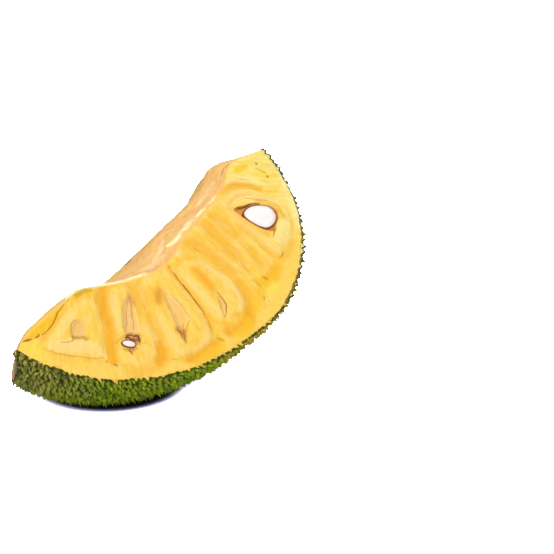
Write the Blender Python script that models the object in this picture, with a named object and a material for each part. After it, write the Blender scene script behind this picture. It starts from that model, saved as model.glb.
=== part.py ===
"""A cut wedge of ripe jackfruit, lying on its rind, with seeds in the cut bulbs.

Fruit frame: X runs along the fruit's own axis from one tip to the other, Z points away from
the middle of the rind, and the front cut faces -Y. An empty turns and lifts that frame into the
pose in which the wedge lies on the table, z = 0. Everything is in metres, and lists of points
are written in centimetres.
"""

import math

import bmesh
import bpy
from mathutils import Matrix, Vector

CM = 0.01

# --- Driving dimensions ---------------------------------------------------------------------
HALF_LENGTH = 0.165            # fruit's middle to either tip, along the skin's axis
SKIN_RADIUS = 0.1225           # at the middle, to the skin between the spines
ROUNDNESS = 0.49               # 0.5 would be a true ellipsoid
SPINE_HEIGHT = 0.003           # the blunt spines that cover the skin
FRONT_ANGLE = math.radians(50)     # front cut, from the middle of the rind
LEFT_END = -0.1620             # stalk end
RIGHT_END = 0.1660             # blossom end

# --- How it lies ----------------------------------------------------------------------------
REST_TILT = math.radians(12)   # the blossom end stands higher
AXIS_HEIGHT = 0.1212           # fruit's middle above the table
CENTRE_X = -0.0066              # fruit's middle, so that the box is centred on the origin
CENTRE_Y = 0.0029

# --- Mesh steps -----------------------------------------------------------------------------
STATIONS = 54                  # cross-sections along the axis
RIND_STEPS = 22
FRONT_STEPS = 3
CORE_STEPS = 2
BACK_STEPS = 4

GAP = 0.0003                   # between a seed and the hollow that holds it

# --- Ridges left by cutting the core out (cm) -------------------------------------------------
# Front ridge: x, and its distance from the fruit's axis along the front cut.
FRONT_RIDGE = (
    (-16.1, 3.0), (-15.2, 2.6), (-13.5, 2.1), (-10.0, 1.75), (-7.0, 2.2), (-4.0, 3.1),
    (-0.5, 3.75), (3.0, 2.8), (6.5, 2.0), (10.0, 1.0), (12.5, -0.3), (14.5, -0.25),
    (16.7, 0.1),
)
# Back ridge: x, y, and how far it lies below the front ridge.
BACK_RIDGE = (
    (-16.1, -2.0, 0.2), (-15.0, -1.1, 0.6), (-13.0, -0.3, 0.85), (-10.0, 0.3, 1.05),
    (-7.0, 0.4, 1.15), (-4.0, 0.2, 0.8), (0.0, 0.6, 0.55), (5.5, 1.3, 0.6), (9.8, 1.7, 0.6),
    (12.2, 2.45, 0.6), (13.3, 2.2, 0.6), (14.5, 1.3, 0.6), (16.7, 0.5, 0.5),
)
# Back cut at the rind: x, and its angle from the middle of the rind (degrees). The knife ran
# forward at the stalk end, so the wedge thins out to a corner there.
BACK_EDGE = (
    (-16.1, -36.0), (-15.2, -5.0), (-14.2, 9.0), (-13.0, 20.0), (-11.0, 31.0), (-8.5, 40.0),
    (-5.5, 44.5), (-2.0, 46.0), (4.0, 45.5), (10.0, 46.0), (16.7, 47.0),
)

# --- Seeds and the hollows they sit in --------------------------------------------------------
# Outlines on the front cut: x and distance from the fruit's axis (cm).
LARGE_HOLLOW = (
    (9.2, 3.15), (10.9, 3.6), (12.2, 4.4), (12.6, 5.1), (12.15, 5.85), (11.3, 6.25),
    (10.8, 6.65), (10.2, 6.3), (9.55, 5.4), (9.2, 4.3),
)
SMALL_HOLLOW = (
    (-9.1, 6.6), (-8.6, 6.45), (-8.0, 6.5), (-7.3, 6.7), (-6.9, 7.1), (-7.3, 7.7),
    (-8.0, 8.0), (-8.8, 7.85), (-9.25, 7.25),
)
HOLLOW_TAPER = 0.8             # floor outline against mouth outline
HOLLOW_LIP = 0.004             # how far a cutter stands out of the cut
OVAL_MARGIN = 0.0035           # round a seed in a plain oval hollow

SEED_RINGS = 12
SEED_SEGMENTS = 24

FLESH_COLOUR = (0.93, 0.62, 0.13, 1.0)
SEED_COLOUR = (0.90, 0.86, 0.82, 1.0)


def clear_scene():
    """Remove what the file opened with."""
    for obj in list(bpy.data.objects):
        bpy.data.objects.remove(obj, do_unlink=True)


def make_material(name, colour, roughness):
    """A plain surface with one colour and one roughness."""
    material = bpy.data.materials.new(name)
    material.use_nodes = True
    shader = material.node_tree.nodes["Principled BSDF"]
    shader.inputs["Base Color"].default_value = colour
    shader.inputs["Roughness"].default_value = roughness
    shader.inputs["Metallic"].default_value = 0.0
    return material


def smooth_between(knots, x, column=1):
    """Read a smooth curve through knots, whose first column is x, at one x."""
    xs = [knot[0] for knot in knots]
    ys = [knot[column] for knot in knots]
    x = min(max(x, xs[0]), xs[-1])
    i = max(j for j in range(len(xs) - 1) if xs[j] <= x)

    def slope(j):
        low = max(j - 1, 0)
        high = min(j + 1, len(xs) - 1)
        return (ys[high] - ys[low]) / (xs[high] - xs[low])

    span = xs[i + 1] - xs[i]
    t = (x - xs[i]) / span
    rise_in = slope(i) * span
    rise_out = slope(i + 1) * span
    return ((2 * t**3 - 3 * t**2 + 1) * ys[i] + (t**3 - 2 * t**2 + t) * rise_in
            + (3 * t**2 - 2 * t**3) * ys[i + 1] + (t**3 - t**2) * rise_out)


def rind_radius(x):
    """Distance from the axis to the tips of the spines."""
    u = x / (HALF_LENGTH + SPINE_HEIGHT)
    return (SKIN_RADIUS + SPINE_HEIGHT) * (1.0 - u * u) ** ROUNDNESS


def front_point(x, distance):
    """A point on the front cut, at a distance from the fruit's axis."""
    return Vector((x, -distance * math.sin(FRONT_ANGLE), -distance * math.cos(FRONT_ANGLE)))


def front_ridge(x):
    """Where the front cut meets the strip that the core was cut from."""
    return front_point(x, smooth_between(FRONT_RIDGE, x / CM) * CM)


def back_ridge(x):
    """Where the back cut meets that strip."""
    drop = smooth_between(BACK_RIDGE, x / CM, 2) * CM
    return Vector((x, smooth_between(BACK_RIDGE, x / CM, 1) * CM, front_ridge(x).z - drop))


def rind_point(x, angle):
    """A point on the rind, at an angle from its middle towards the back."""
    radius = rind_radius(x)
    return Vector((x, radius * math.sin(angle), -radius * math.cos(angle)))


def back_angle(x):
    """The back cut's angle where it meets the rind."""
    return math.radians(smooth_between(BACK_EDGE, x / CM))


def back_edge(x):
    """Where the back cut meets the rind."""
    return rind_point(x, back_angle(x))


def section(x):
    """One closed cross-section of the wedge, as a ring of points in a fixed order."""
    span = FRONT_ANGLE + back_angle(x)
    ring = [rind_point(x, -FRONT_ANGLE + span * i / RIND_STEPS) for i in range(RIND_STEPS)]
    corners = [back_edge(x), back_ridge(x), front_ridge(x), rind_point(x, -FRONT_ANGLE)]
    steps = [BACK_STEPS, CORE_STEPS, FRONT_STEPS]
    for start, end, count in zip(corners, corners[1:], steps):
        ring += [start.lerp(end, i / count) for i in range(count)]
    return ring


def new_object(name, bm, material, parent):
    """Turn a bmesh into a named, smooth-shaded object under a parent."""
    bmesh.ops.recalc_face_normals(bm, faces=bm.faces)
    mesh = bpy.data.meshes.new(name)
    bm.to_mesh(mesh)
    bm.free()
    mesh.materials.append(material)
    mesh.shade_smooth()
    mesh.set_sharp_from_angle(angle=math.radians(35))
    obj = bpy.data.objects.new(name, mesh)
    bpy.context.collection.objects.link(obj)
    obj.parent = parent
    return obj


def rest_frame():
    """The empty that carries the fruit frame to where the wedge lies."""
    empty = bpy.data.objects.new("fruit_frame", None)
    bpy.context.collection.objects.link(empty)
    empty.location = (CENTRE_X, CENTRE_Y, AXIS_HEIGHT)
    empty.rotation_euler = (0.0, -REST_TILT, 0.0)
    bpy.context.view_layer.update()
    return empty


def make_wedge(frame, material):
    """The wedge: a tube of cross-sections, pressed flat where it lies on the table."""
    bm = bmesh.new()
    rings = []
    for i in range(STATIONS):
        turn = math.pi * i / (STATIONS - 1)
        middle = (LEFT_END + RIGHT_END) / 2
        x = middle - (RIGHT_END - LEFT_END) / 2 * math.cos(turn)
        rings.append([bm.verts.new(point) for point in section(x)])
    for left, right in zip(rings, rings[1:]):
        for j in range(len(left)):
            k = (j + 1) % len(left)
            bm.faces.new((left[j], left[k], right[k], right[j]))
    bm.faces.new(rings[0])
    bm.faces.new(rings[-1])

    table = frame.matrix_world.inverted()
    foot = bmesh.ops.bisect_plane(
        bm, geom=bm.verts[:] + bm.edges[:] + bm.faces[:], dist=1e-6,
        plane_co=table @ Vector((0, 0, 0)), plane_no=table.to_3x3() @ Vector((0, 0, -1)),
        clear_outer=True)
    rim = [item for item in foot["geom_cut"] if isinstance(item, bmesh.types.BMEdge)]
    bmesh.ops.contextual_create(bm, geom=rim)
    return new_object("jackfruit_wedge", bm, material, frame)


def face_frame(origin, along, normal):
    """A frame on a cut: x along the surface, z out of it."""
    z = normal.normalized()
    x = (along - along.dot(z) * z).normalized()
    y = z.cross(x)
    turn = Matrix((x, y, z)).transposed().to_4x4()
    return Matrix.Translation(origin) @ turn


def front_frame(x, distance, along_x, along_r):
    """A frame on the front cut, its x axis along a direction given on that cut."""
    origin = front_point(x * CM, distance * CM)
    along = Vector((along_x, -along_r * math.sin(FRONT_ANGLE), -along_r * math.cos(FRONT_ANGLE)))
    return face_frame(origin, along, Vector((0, -math.cos(FRONT_ANGLE), math.sin(FRONT_ANGLE))))


def back_frame(x, share, lean):
    """A frame on the back cut: a share of the way from ridge to rind, turned by lean."""
    ridge = back_ridge(x * CM)
    edge = back_edge(x * CM)
    step = CM
    run = back_ridge(x * CM + step).lerp(back_edge(x * CM + step), share) - ridge.lerp(edge, share)
    outward = (edge - ridge).normalized()
    normal = run.cross(outward)
    along = run.normalized() * math.cos(lean) + outward * math.sin(lean)
    return face_frame(ridge.lerp(edge, share), along, normal)


def half_seed(name, frame, place, size, material):
    """A seed cut flush with the flesh: the lower half of an ellipsoid, closed by its cut."""
    length, width, depth = size
    bm = bmesh.new()
    bmesh.ops.create_uvsphere(bm, u_segments=SEED_SEGMENTS, v_segments=SEED_RINGS, radius=1.0)
    upper = [vert for vert in bm.verts if vert.co.z > 1e-4]
    bmesh.ops.delete(bm, geom=upper, context="VERTS")
    rim = [edge for edge in bm.edges if edge.is_boundary]
    bmesh.ops.contextual_create(bm, geom=rim)
    bmesh.ops.transform(bm, matrix=Matrix.Diagonal((length / 2, width / 2, depth, 1)), verts=bm.verts)
    bmesh.ops.transform(bm, matrix=place, verts=bm.verts)
    return new_object(name, bm, material, frame)


def cut_hollow(name, wedge, frame, place, outline, depth, material):
    """Cut a tapering hollow into the wedge. The outline lies in the xy plane of place."""
    bm = bmesh.new()
    centre = sum((Vector(point) for point in outline), Vector((0, 0))) / len(outline)
    loops = []
    for z, scale in ((HOLLOW_LIP, 1.0), (0.0, 1.0), (-depth, HOLLOW_TAPER)):
        flat = [centre + (Vector(point) - centre) * scale for point in outline]
        loops.append([bm.verts.new((p.x, p.y, z)) for p in flat])
    for upper, lower in zip(loops, loops[1:]):
        for j in range(len(upper)):
            k = (j + 1) % len(upper)
            bm.faces.new((upper[j], upper[k], lower[k], lower[j]))
    bm.faces.new(loops[0])
    bm.faces.new(loops[-1])
    bmesh.ops.transform(bm, matrix=place, verts=bm.verts)
    cutter = new_object(name, bm, material, frame)
    cutter.hide_render = True
    cutter.display_type = "WIRE"
    cut = wedge.modifiers.new(name, "BOOLEAN")
    cut.operation = "DIFFERENCE"
    cut.solver = "EXACT"
    cut.object = cutter


def front_outline(points, place):
    """Points on the front cut, as flat points in a frame on that cut."""
    inverse = place.inverted()
    return [tuple((inverse @ front_point(x * CM, r * CM)).xy) for x, r in points]


def oval(length, width):
    """An oval outline round the origin."""
    turns = [2 * math.pi * i / SEED_SEGMENTS for i in range(SEED_SEGMENTS)]
    return [(length / 2 * math.cos(turn), width / 2 * math.sin(turn)) for turn in turns]


def main():
    clear_scene()
    flesh = make_material("jackfruit_flesh", FLESH_COLOUR, 0.35)
    kernel = make_material("seed_kernel", SEED_COLOUR, 0.45)
    frame = rest_frame()
    wedge = make_wedge(frame, flesh)

    # Each front seed: name, outline of its hollow, centre and direction on the cut (cm), size.
    front_seeds = (
        ("large_seed", LARGE_HOLLOW, (10.92, 4.93), (1.0, 0.50), (0.0282, 0.0212, 0.0085)),
        ("small_seed", SMALL_HOLLOW, (-8.50, 7.15), (1.0, 0.85), (0.0120, 0.0068, 0.0034)),
    )
    for name, hollow, centre, along, size in front_seeds:
        place = front_frame(*centre, *along)
        outline = front_outline(hollow, place)
        cut_hollow(name + "_hollow", wedge, frame, place, outline, size[2] + GAP, flesh)
        half_seed(name, frame, place, size, kernel)

    # Each back seed: name, x (cm), share of the way to the rind, lean, size.
    back_seeds = (
        ("back_seed_low", -5.6, 0.60, math.radians(62), (0.0270, 0.0170, 0.0080)),
        ("back_seed_high", 6.4, 0.55, math.radians(112), (0.0250, 0.0180, 0.0080)),
    )
    for name, x, share, lean, size in back_seeds:
        place = back_frame(x, share, lean)
        outline = oval(size[0] + 2 * OVAL_MARGIN, size[1] + OVAL_MARGIN)
        cut_hollow(name + "_hollow", wedge, frame, place, outline, size[2] + GAP, flesh)
        half_seed(name, frame, place, size, kernel)


main()
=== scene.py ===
# %% [markdown]
# # A cut wedge of ripe jackfruit
# A jackfruit is many fruitlets grown together: a skin of blunt spines outside, and inside it rows
# of yellow bulbs, each round one seed, with orange rag between them. This lesson builds one wedge
# of it as it lies on a table, on top of a packed model whose size and place are already fixed.

# %% Load the packed model
import math

import bpy
import numpy as np
from mathutils import Matrix, Vector
from mathutils.geometry import delaunay_2d_cdt


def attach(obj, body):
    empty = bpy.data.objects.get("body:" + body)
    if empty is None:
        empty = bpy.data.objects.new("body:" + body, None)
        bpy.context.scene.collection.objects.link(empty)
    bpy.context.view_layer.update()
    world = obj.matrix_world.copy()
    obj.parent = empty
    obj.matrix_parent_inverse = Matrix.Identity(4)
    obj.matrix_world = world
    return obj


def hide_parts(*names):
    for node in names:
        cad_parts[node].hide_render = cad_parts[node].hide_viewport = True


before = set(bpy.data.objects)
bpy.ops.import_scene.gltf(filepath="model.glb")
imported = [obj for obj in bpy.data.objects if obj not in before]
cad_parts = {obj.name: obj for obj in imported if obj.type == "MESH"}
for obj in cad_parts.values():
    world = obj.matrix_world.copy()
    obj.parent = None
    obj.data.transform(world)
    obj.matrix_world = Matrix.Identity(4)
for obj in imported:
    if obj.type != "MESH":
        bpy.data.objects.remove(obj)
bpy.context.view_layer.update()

# %% [markdown]
# ## The fruit's own frame
# On the real fruit everything follows its axis: the skin is round about it, the bulbs stand
# round it, and the knife cut along it. So all places are worked out in centimetres in the
# fruit's own frame, X along the axis, Z away from the middle of the rind, and only the last step
# turns them into metres on the table. The few driving sizes are those of the packed model.

# %% Driving sizes, in centimetres
CM = 0.01
HALF_LENGTH = 16.5
SKIN_RADIUS = 12.25
ROUNDNESS = 0.49               # 0.5 makes the skin an ellipsoid, less makes blunter ends
SPINE_HEIGHT = 0.42
BLOSSOM_SWELL = 0.042          # share by which the blossom half is fuller
SWELL_RANGE = (-0.5, 8.0)      # x over which it fills out
FRONT_ANGLE = math.radians(50)
REST_TILT = math.radians(12)
FRUIT_CENTRE = np.array((-0.66, 0.29, 12.12))
LEFT_END = -16.02              # the flesh's own ends, just inside the rind's
RIGHT_END = 16.46
TABLE_UP = np.array((math.sin(REST_TILT), 0.0, math.cos(REST_TILT)))    # in the fruit's frame


def to_table(points):
    """Points of the fruit's frame in centimetres, as metres on the table."""
    x, y, z = np.moveaxis(np.asarray(points, float), -1, 0)
    cosine = math.cos(REST_TILT)
    sine = math.sin(REST_TILT)
    turned = np.stack((x * cosine - z * sine, y, x * sine + z * cosine), axis=-1)
    return (turned + FRUIT_CENTRE) * CM


print("the fruit's middle on the table, in metres:", to_table((0, 0, 0)).round(4))

# %% [markdown]
# ## Smooth curves from a few knots
# The ridges that the knife left wander gently. A designer's way to hold such a line is a handful
# of knots with a smooth curve through them. A Hermite curve whose slopes come from the
# neighbouring knots passes through each one without overshooting much, and NumPy evaluates it
# for all stations at once.

# %% Smooth curves and smooth random waves
WAVE_CELLS = 64                # the waves repeat after this many bumps


def curve(knots, x, column=1):
    """Read a smooth curve through knots, whose first column is x, at many x."""
    table = np.array(knots, float)
    xs = table[:, 0]
    ys = table[:, column]
    low = np.maximum(np.arange(len(xs)) - 1, 0)
    high = np.minimum(np.arange(len(xs)) + 1, len(xs) - 1)
    slopes = (ys[high] - ys[low]) / (xs[high] - xs[low])
    x = np.clip(x, xs[0], xs[-1])
    i = np.clip(np.searchsorted(xs, x, side="right") - 1, 0, len(xs) - 2)
    span = xs[i + 1] - xs[i]
    t = (x - xs[i]) / span
    return ((2 * t**3 - 3 * t**2 + 1) * ys[i] + (t**3 - 2 * t**2 + t) * slopes[i] * span
            + (3 * t**2 - 2 * t**3) * ys[i + 1] + (t**3 - t**2) * slopes[i + 1] * span)


def ease(low, high, value):
    """Zero below low, one above high, and a smooth rise between."""
    t = np.clip((value - low) / (high - low), 0, 1)
    return t * t * (3 - 2 * t)


def ripple(a, b, seed=0):
    """Smooth random waves between -1 and 1, about one bump to a unit of a and b."""
    table = np.random.default_rng(seed).uniform(-1, 1, (WAVE_CELLS, WAVE_CELLS))
    a, b = np.broadcast_arrays(a, b)
    cell_a = np.floor(a).astype(int)
    cell_b = np.floor(b).astype(int)
    s = ease(0, 1, a - cell_a)
    t = ease(0, 1, b - cell_b)
    i, j = cell_a % WAVE_CELLS, cell_b % WAVE_CELLS
    next_i, next_j = (cell_a + 1) % WAVE_CELLS, (cell_b + 1) % WAVE_CELLS
    low = table[i, j] * (1 - s) + table[next_i, j] * s
    high = table[i, next_j] * (1 - s) + table[next_i, next_j] * s
    return low * (1 - t) + high * t


def shares(count):
    """Even steps from 0 up to 1, without the 1."""
    return np.arange(count) / count


print("a curve through 0, 1 and 0:", curve(((0, 0), (1, 1), (2, 0)), np.linspace(0, 2, 5)).round(2))


# %% [markdown]
# ## The knife's three cuts
# The wedge is bounded by the round skin, a flat front cut through the axis, a strip where the
# core was sliced out, and a back cut. In each cross-section those are one arc and three straight
# lines, so four corner curves along the fruit describe it all. Near both ends the ridges are
# kept inside the skin, which closes there.

# %% Knots of the corner curves
FRONT_RIDGE = (                # x, distance from the axis
    (-16.1, 3.0), (-15.2, 2.6), (-13.5, 2.1), (-10.0, 1.75), (-8.4, 1.55), (-7.0, 2.0),
    (-5.6, 2.6), (-4.0, 3.1), (-0.5, 3.75), (3.0, 2.8), (6.5, 2.0), (10.0, 1.0), (12.5, -0.3),
    (14.5, -0.25), (16.7, 0.1),
)
BACK_RIDGE = (                 # x, y, drop below the front ridge
    (-16.1, -2.0, 0.2), (-15.0, -1.1, 0.6), (-13.0, -0.3, 0.85), (-10.0, 0.3, 1.05),
    (-7.0, 0.4, 1.15), (-4.0, 0.2, 0.8), (0.0, 0.6, 0.55), (5.5, 1.3, 0.6), (9.8, 1.7, 0.6),
    (12.2, 2.45, 0.6), (13.3, 2.2, 0.6), (14.5, 1.3, 0.6), (16.7, 0.5, 0.5),
)
BACK_EDGE = (                  # x, degrees from the middle of the rind
    (-16.1, -36.0), (-15.2, -5.0), (-14.2, 9.0), (-13.0, 20.0), (-11.0, 31.0), (-8.5, 39.0),
    (-5.5, 42.5), (-2.0, 43.0), (4.0, 44.5), (10.0, 46.0), (16.7, 47.0),
)
print("knots:", len(FRONT_RIDGE), "front ridge,", len(BACK_RIDGE), "back ridge,", len(BACK_EDGE), "rind")

# %% Places on the skin and on the cuts
FLESH_INSET = 0.06             # the flesh ends this far inside the skin
CORNER_SPACE = 0.14            # least distance of a ridge from the skin
FRONT_OUTWARD = np.array((0, -math.sin(FRONT_ANGLE), -math.cos(FRONT_ANGLE)))
FRONT_NORMAL = np.array((0, -math.cos(FRONT_ANGLE), math.sin(FRONT_ANGLE)))


def skin_radius(x):
    """Distance from the axis to the skin between the spines."""
    fullness = 1 + BLOSSOM_SWELL * ease(*SWELL_RANGE, x)
    return SKIN_RADIUS * fullness * np.clip(1 - (x / HALF_LENGTH) ** 2, 1e-9, 1) ** ROUNDNESS


def around(x, radius, angle):
    """Points round the axis, at an angle from the middle of the rind."""
    return np.stack(np.broadcast_arrays(x, radius * np.sin(angle), -radius * np.cos(angle)), -1)


def on_front(x, distance, height=0.0):
    """Points on the front cut, or a height above it."""
    flat = np.stack(np.broadcast_arrays(x, 0.0, 0.0), -1)
    return (flat + np.asarray(distance)[..., None] * FRONT_OUTWARD
            + np.asarray(height)[..., None] * FRONT_NORMAL)


def front_ridge_distance(x):
    """How far the front ridge lies from the axis, kept inside the skin."""
    return np.minimum(curve(FRONT_RIDGE, x), skin_radius(x) - FLESH_INSET - CORNER_SPACE)


def back_edge_angle(x):
    """The back cut's angle at the rind, from the middle of the rind."""
    return np.radians(curve(BACK_EDGE, x))


def knife_front_ridge(x):
    """Where the knife's front cut and the strip meet, also where that lies outside the skin."""
    return on_front(x, curve(FRONT_RIDGE, x))


def knife_back_ridge(x):
    """Where the knife's strip and back cut meet."""
    z = knife_front_ridge(x)[..., 2] - curve(BACK_RIDGE, x, 2)
    return np.stack((np.asarray(x, float), curve(BACK_RIDGE, x, 1), z), -1)


def back_ridge(x):
    """The flesh's own back ridge, kept inside the skin."""
    shift = on_front(x, front_ridge_distance(x)) - knife_front_ridge(x)
    ridge = knife_back_ridge(x) + shift
    room = skin_radius(x) - FLESH_INSET - CORNER_SPACE
    shrink = np.minimum(1, room / np.hypot(ridge[..., 1], ridge[..., 2]))
    ridge[..., 1:] *= shrink[..., None]
    return ridge


for station in (-12.0, 0.0, 12.0):
    print("x", station, "skin", round(float(skin_radius(station)), 2),
          "front ridge", round(float(front_ridge_distance(np.array(station))), 2))

# %% [markdown]
# ## Meshes and what is painted on them
# Each piece here is worked out as NumPy arrays and becomes a mesh in one call. Colours are not
# stored on it. It carries plain numbers instead, such as how orange a place is, and the material
# turns these into colour with its own fine noise. That keeps edges soft at any distance.

# %% Turn arrays into a piece of the wedge
def faces_outward(mesh):
    """Whether a mesh's faces point away from its middle, from the sign of the volume they span."""
    mesh.calc_loop_triangles()
    corners = np.empty(len(mesh.loop_triangles) * 3, np.int32)
    mesh.loop_triangles.foreach_get("vertices", corners)
    places = np.empty(len(mesh.vertices) * 3, np.float32)
    mesh.vertices.foreach_get("co", places)
    places = places.reshape(-1, 3).astype(float)
    first, second, third = (places - places.mean(0))[corners.reshape(-1, 3)].transpose(1, 0, 2)
    return (first * np.cross(second, third)).sum() > 0


def new_piece(name, points, faces, slot, replaces=(), numbers=None):
    """Make a smooth mesh from points in the fruit's frame, with numbers stored per vertex."""
    mesh = bpy.data.meshes.new(name)
    mesh.from_pydata(to_table(points).tolist(), [], [list(map(int, face)) for face in faces])
    for key, values in (numbers or {}).items():
        values = np.asarray(values, np.float32)
        kind = "FLOAT_VECTOR" if values.ndim == 2 else "FLOAT"
        field = "vector" if values.ndim == 2 else "value"
        mesh.attributes.new(key, kind, "POINT").data.foreach_set(field, values.ravel())
    mesh.validate()
    if not faces_outward(mesh):
        mesh.flip_normals()
    mesh.shade_smooth()
    piece = bpy.data.objects.new(name, mesh)
    bpy.context.scene.collection.objects.link(piece)
    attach(piece, "root")
    if replaces:
        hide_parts(*replaces)
    triangles = sum(len(polygon.vertices) - 2 for polygon in mesh.polygons)
    print(name, "has", triangles, "triangles")
    return piece


# %% Press the foot flat
PRESS_SOFTNESS = 0.05          # centimetres over which the foot bends flat


def press_down(points, level):
    """Lift what would lie under the table's top to a small level above it, softly."""
    height = points @ TABLE_UP + FRUIT_CENTRE[2]
    lifted = level + np.logaddexp(0, (height - level) / PRESS_SOFTNESS) * PRESS_SOFTNESS
    return points + (lifted - height)[..., None] * TABLE_UP


sunk = TABLE_UP * (-0.3 - FRUIT_CENTRE[2])
lift = np.linalg.norm(press_down(sunk, 0) - sunk)
print("a point 3 mm under the table is lifted by", round(float(lift) * 10, 1), "mm")

# %% [markdown]
# ## Where the spines grow
# Every spine on the skin is the tip of one fruitlet, and fruitlets grow on a spiral, as seeds do
# in a sunflower. A grid would show its rows and a random scatter would clump. So the spines are
# set on a golden spiral that gives each the same area of skin, and each is then nudged a little.

# %% Spine places on a golden spiral
SPINE_PITCH = 0.54
SPINE_NUDGE = 0.22             # share of the pitch
EDGE_MARGIN = 1.1              # spines are made this far past the cuts, then trimmed
STALK_CROWDING = 0.5           # share by which spines stand closer at the stalk end
CROWDED_RANGE = (-14.0, -6.0)  # x over which the crowding fades
GOLDEN_ANGLE = math.pi * (3 - math.sqrt(5))
SKIN_SAMPLES = 20001
POLE_TIPS = 6                  # tips that close the skin at the very blossom end
POLE_SPREAD = 1.6              # radians to each side of the rind's middle

rng = np.random.default_rng(11)
fine_x = -HALF_LENGTH * np.cos(np.linspace(0, math.pi, SKIN_SAMPLES))[1:-1]
fine_radius = skin_radius(fine_x)
fine_length = np.hypot(np.gradient(fine_x), np.gradient(fine_radius))
fine_crowd = 1 + STALK_CROWDING * (1 - ease(*CROWDED_RANGE, fine_x))
fine_area = np.cumsum(2 * math.pi * fine_radius * fine_length * fine_crowd)
fine_map = np.cumsum(fine_length / fine_radius)
spine_count = int(fine_area[-1] / (SPINE_PITCH ** 2 * math.sqrt(3) / 2))

order = np.arange(spine_count) + 0.5
spine_x = np.interp(order / spine_count * fine_area[-1], fine_area, fine_x)
spine_angle = (order * GOLDEN_ANGLE + math.pi) % (2 * math.pi) - math.pi
spine_radius = skin_radius(spine_x)
nudge = rng.normal(0, SPINE_NUDGE * SPINE_PITCH, (spine_count, 2))
spine_map = np.interp(spine_x, fine_x, fine_map) + nudge[:, 0] / spine_radius
spine_angle = spine_angle + nudge[:, 1] / spine_radius
spine_x = np.interp(spine_map, fine_map, fine_x)
spine_radius = skin_radius(spine_x)
past = np.maximum(-FRONT_ANGLE - spine_angle, spine_angle - back_edge_angle(spine_x))
kept = past * spine_radius < EDGE_MARGIN
spine_x = np.append(spine_x[kept], np.full(POLE_TIPS, fine_x[-1]))
spine_angle = np.append(spine_angle[kept], np.linspace(-POLE_SPREAD, POLE_SPREAD, POLE_TIPS))
spine_map = np.append(spine_map[kept], np.full(POLE_TIPS, fine_map[-1]))
print("spines on the whole fruit:", spine_count, "kept for the wedge:", len(spine_x))

# %% [markdown]
# ## One mesh that knows its spines
# The six-sided foot of a spine is the area nearer to it than to any other. Joining neighbours
# into triangles and splitting each side in five puts a vertex on every tip and several on the
# slopes between, so even a light mesh shows clean spines. The skin is unrolled for this in a way
# that keeps angles true, which is what the triangulation needs.

# %% Triangles between spines, each split into a fine lattice
SPLITS = 5
LONGEST_SIDE = 2.2             # in spine pitches, longer ones only join the net's outer edge

flat_spines = [Vector(pair) for pair in zip(spine_map, spine_angle)]
net = delaunay_2d_cdt(flat_spines, [], [], 0, 1e-6)
corners = np.array([face for face in net[2] if len(face) == 3])
source = np.array([group[0] for group in net[3]])
corners = source[corners]
unrolled = np.stack((spine_map, spine_angle), -1)[corners]
span = np.linalg.norm(unrolled - np.roll(unrolled, 1, axis=1), axis=2).max(1)
local_radius = np.interp(unrolled[..., 0].mean(1), fine_map, fine_radius)
corners = corners[span * local_radius < LONGEST_SIDE * SPINE_PITCH]

steps = [(i, j) for i in range(SPLITS + 1) for j in range(SPLITS + 1 - i)]
place = {step: k for k, step in enumerate(steps)}
weights = np.array([(SPLITS - i - j, i, j) for i, j in steps]) / SPLITS
small = [(place[i, j], place[i + 1, j], place[i, j + 1])
         for i, j in steps if i + j < SPLITS]
small += [(place[i + 1, j], place[i + 1, j + 1], place[i, j + 1])
          for i, j in steps if i + j < SPLITS - 1]
print("triangles between spines:", len(corners), "split into", len(small), "each")

# %% [markdown]
# ## From a triangle lattice to blunt cones
# How far up its spine a point lies follows from its distances to the two nearest tips: equal
# distances mean the groove between them, and none to the nearest means the tip. Real spines
# differ a little in height and lean towards the blossom end.

# %% Raise the spines
SPINE_LEAN = 0.30              # how far a tip leans on average, as a share of its height
LEAN_SPREAD = 0.34
SPINE_SIZES = (0.60, 1.25)     # shares of the usual height
BLOSSOM_SPINES = 0.10          # how much taller spines are at the blossom end
BLUNTNESS = 1.05               # 1 makes straight cones, more makes hollow ones

lattice = np.einsum("kc,tcd->tkd", weights, np.stack((spine_map, spine_angle), -1)[corners])
_, first, back = np.unique(np.round(lattice.reshape(-1, 2), 6), axis=0,
                           return_index=True, return_inverse=True)
lattice_faces = np.arange(len(corners))[:, None, None] * len(steps) + np.array(small)
rind_faces = back.ravel()[lattice_faces.reshape(-1, 3)]
flat_points = lattice.reshape(-1, 2)[first]

skin_x = np.interp(flat_points[:, 0], fine_map, fine_x)
skin = around(skin_x, skin_radius(skin_x), flat_points[:, 1])
slope = np.interp(skin_x, fine_x, np.gradient(fine_radius, fine_x))
outward = around(-slope, 1.0, flat_points[:, 1])
outward /= np.linalg.norm(outward, axis=1, keepdims=True)

tips = around(spine_x, skin_radius(spine_x), spine_angle)
near = corners[first // len(steps)]
reach = np.linalg.norm(skin[:, None] - tips[near], axis=2)
ranked = np.argsort(reach, axis=1)
nearest = np.take_along_axis(near, ranked[:, :1], 1)[:, 0]
closest, second = np.take_along_axis(reach, ranked[:, :2], 1).T
climb = (second - closest) / (second + closest)

spine_size = rng.uniform(*SPINE_SIZES, len(spine_x))
spine_size = spine_size * (1 + BLOSSOM_SPINES * ease(2.0, 9.0, spine_x))
spine_tint = rng.uniform(0, 1, len(spine_x))
spine_lean = rng.normal((SPINE_LEAN, 0), LEAN_SPREAD, (len(spine_x), 2))
rise = climb ** BLUNTNESS
spine_rise = SPINE_HEIGHT * spine_size[nearest] * rise
along_skin = np.array((1.0, 0, 0)) - outward * outward[:, :1]
round_skin = np.cross(outward, along_skin)
lean = along_skin * spine_lean[nearest, :1] + round_skin * spine_lean[nearest, 1:]
print("spine heights, mm:", round(spine_rise.max() * 10, 2), "at most")

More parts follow.
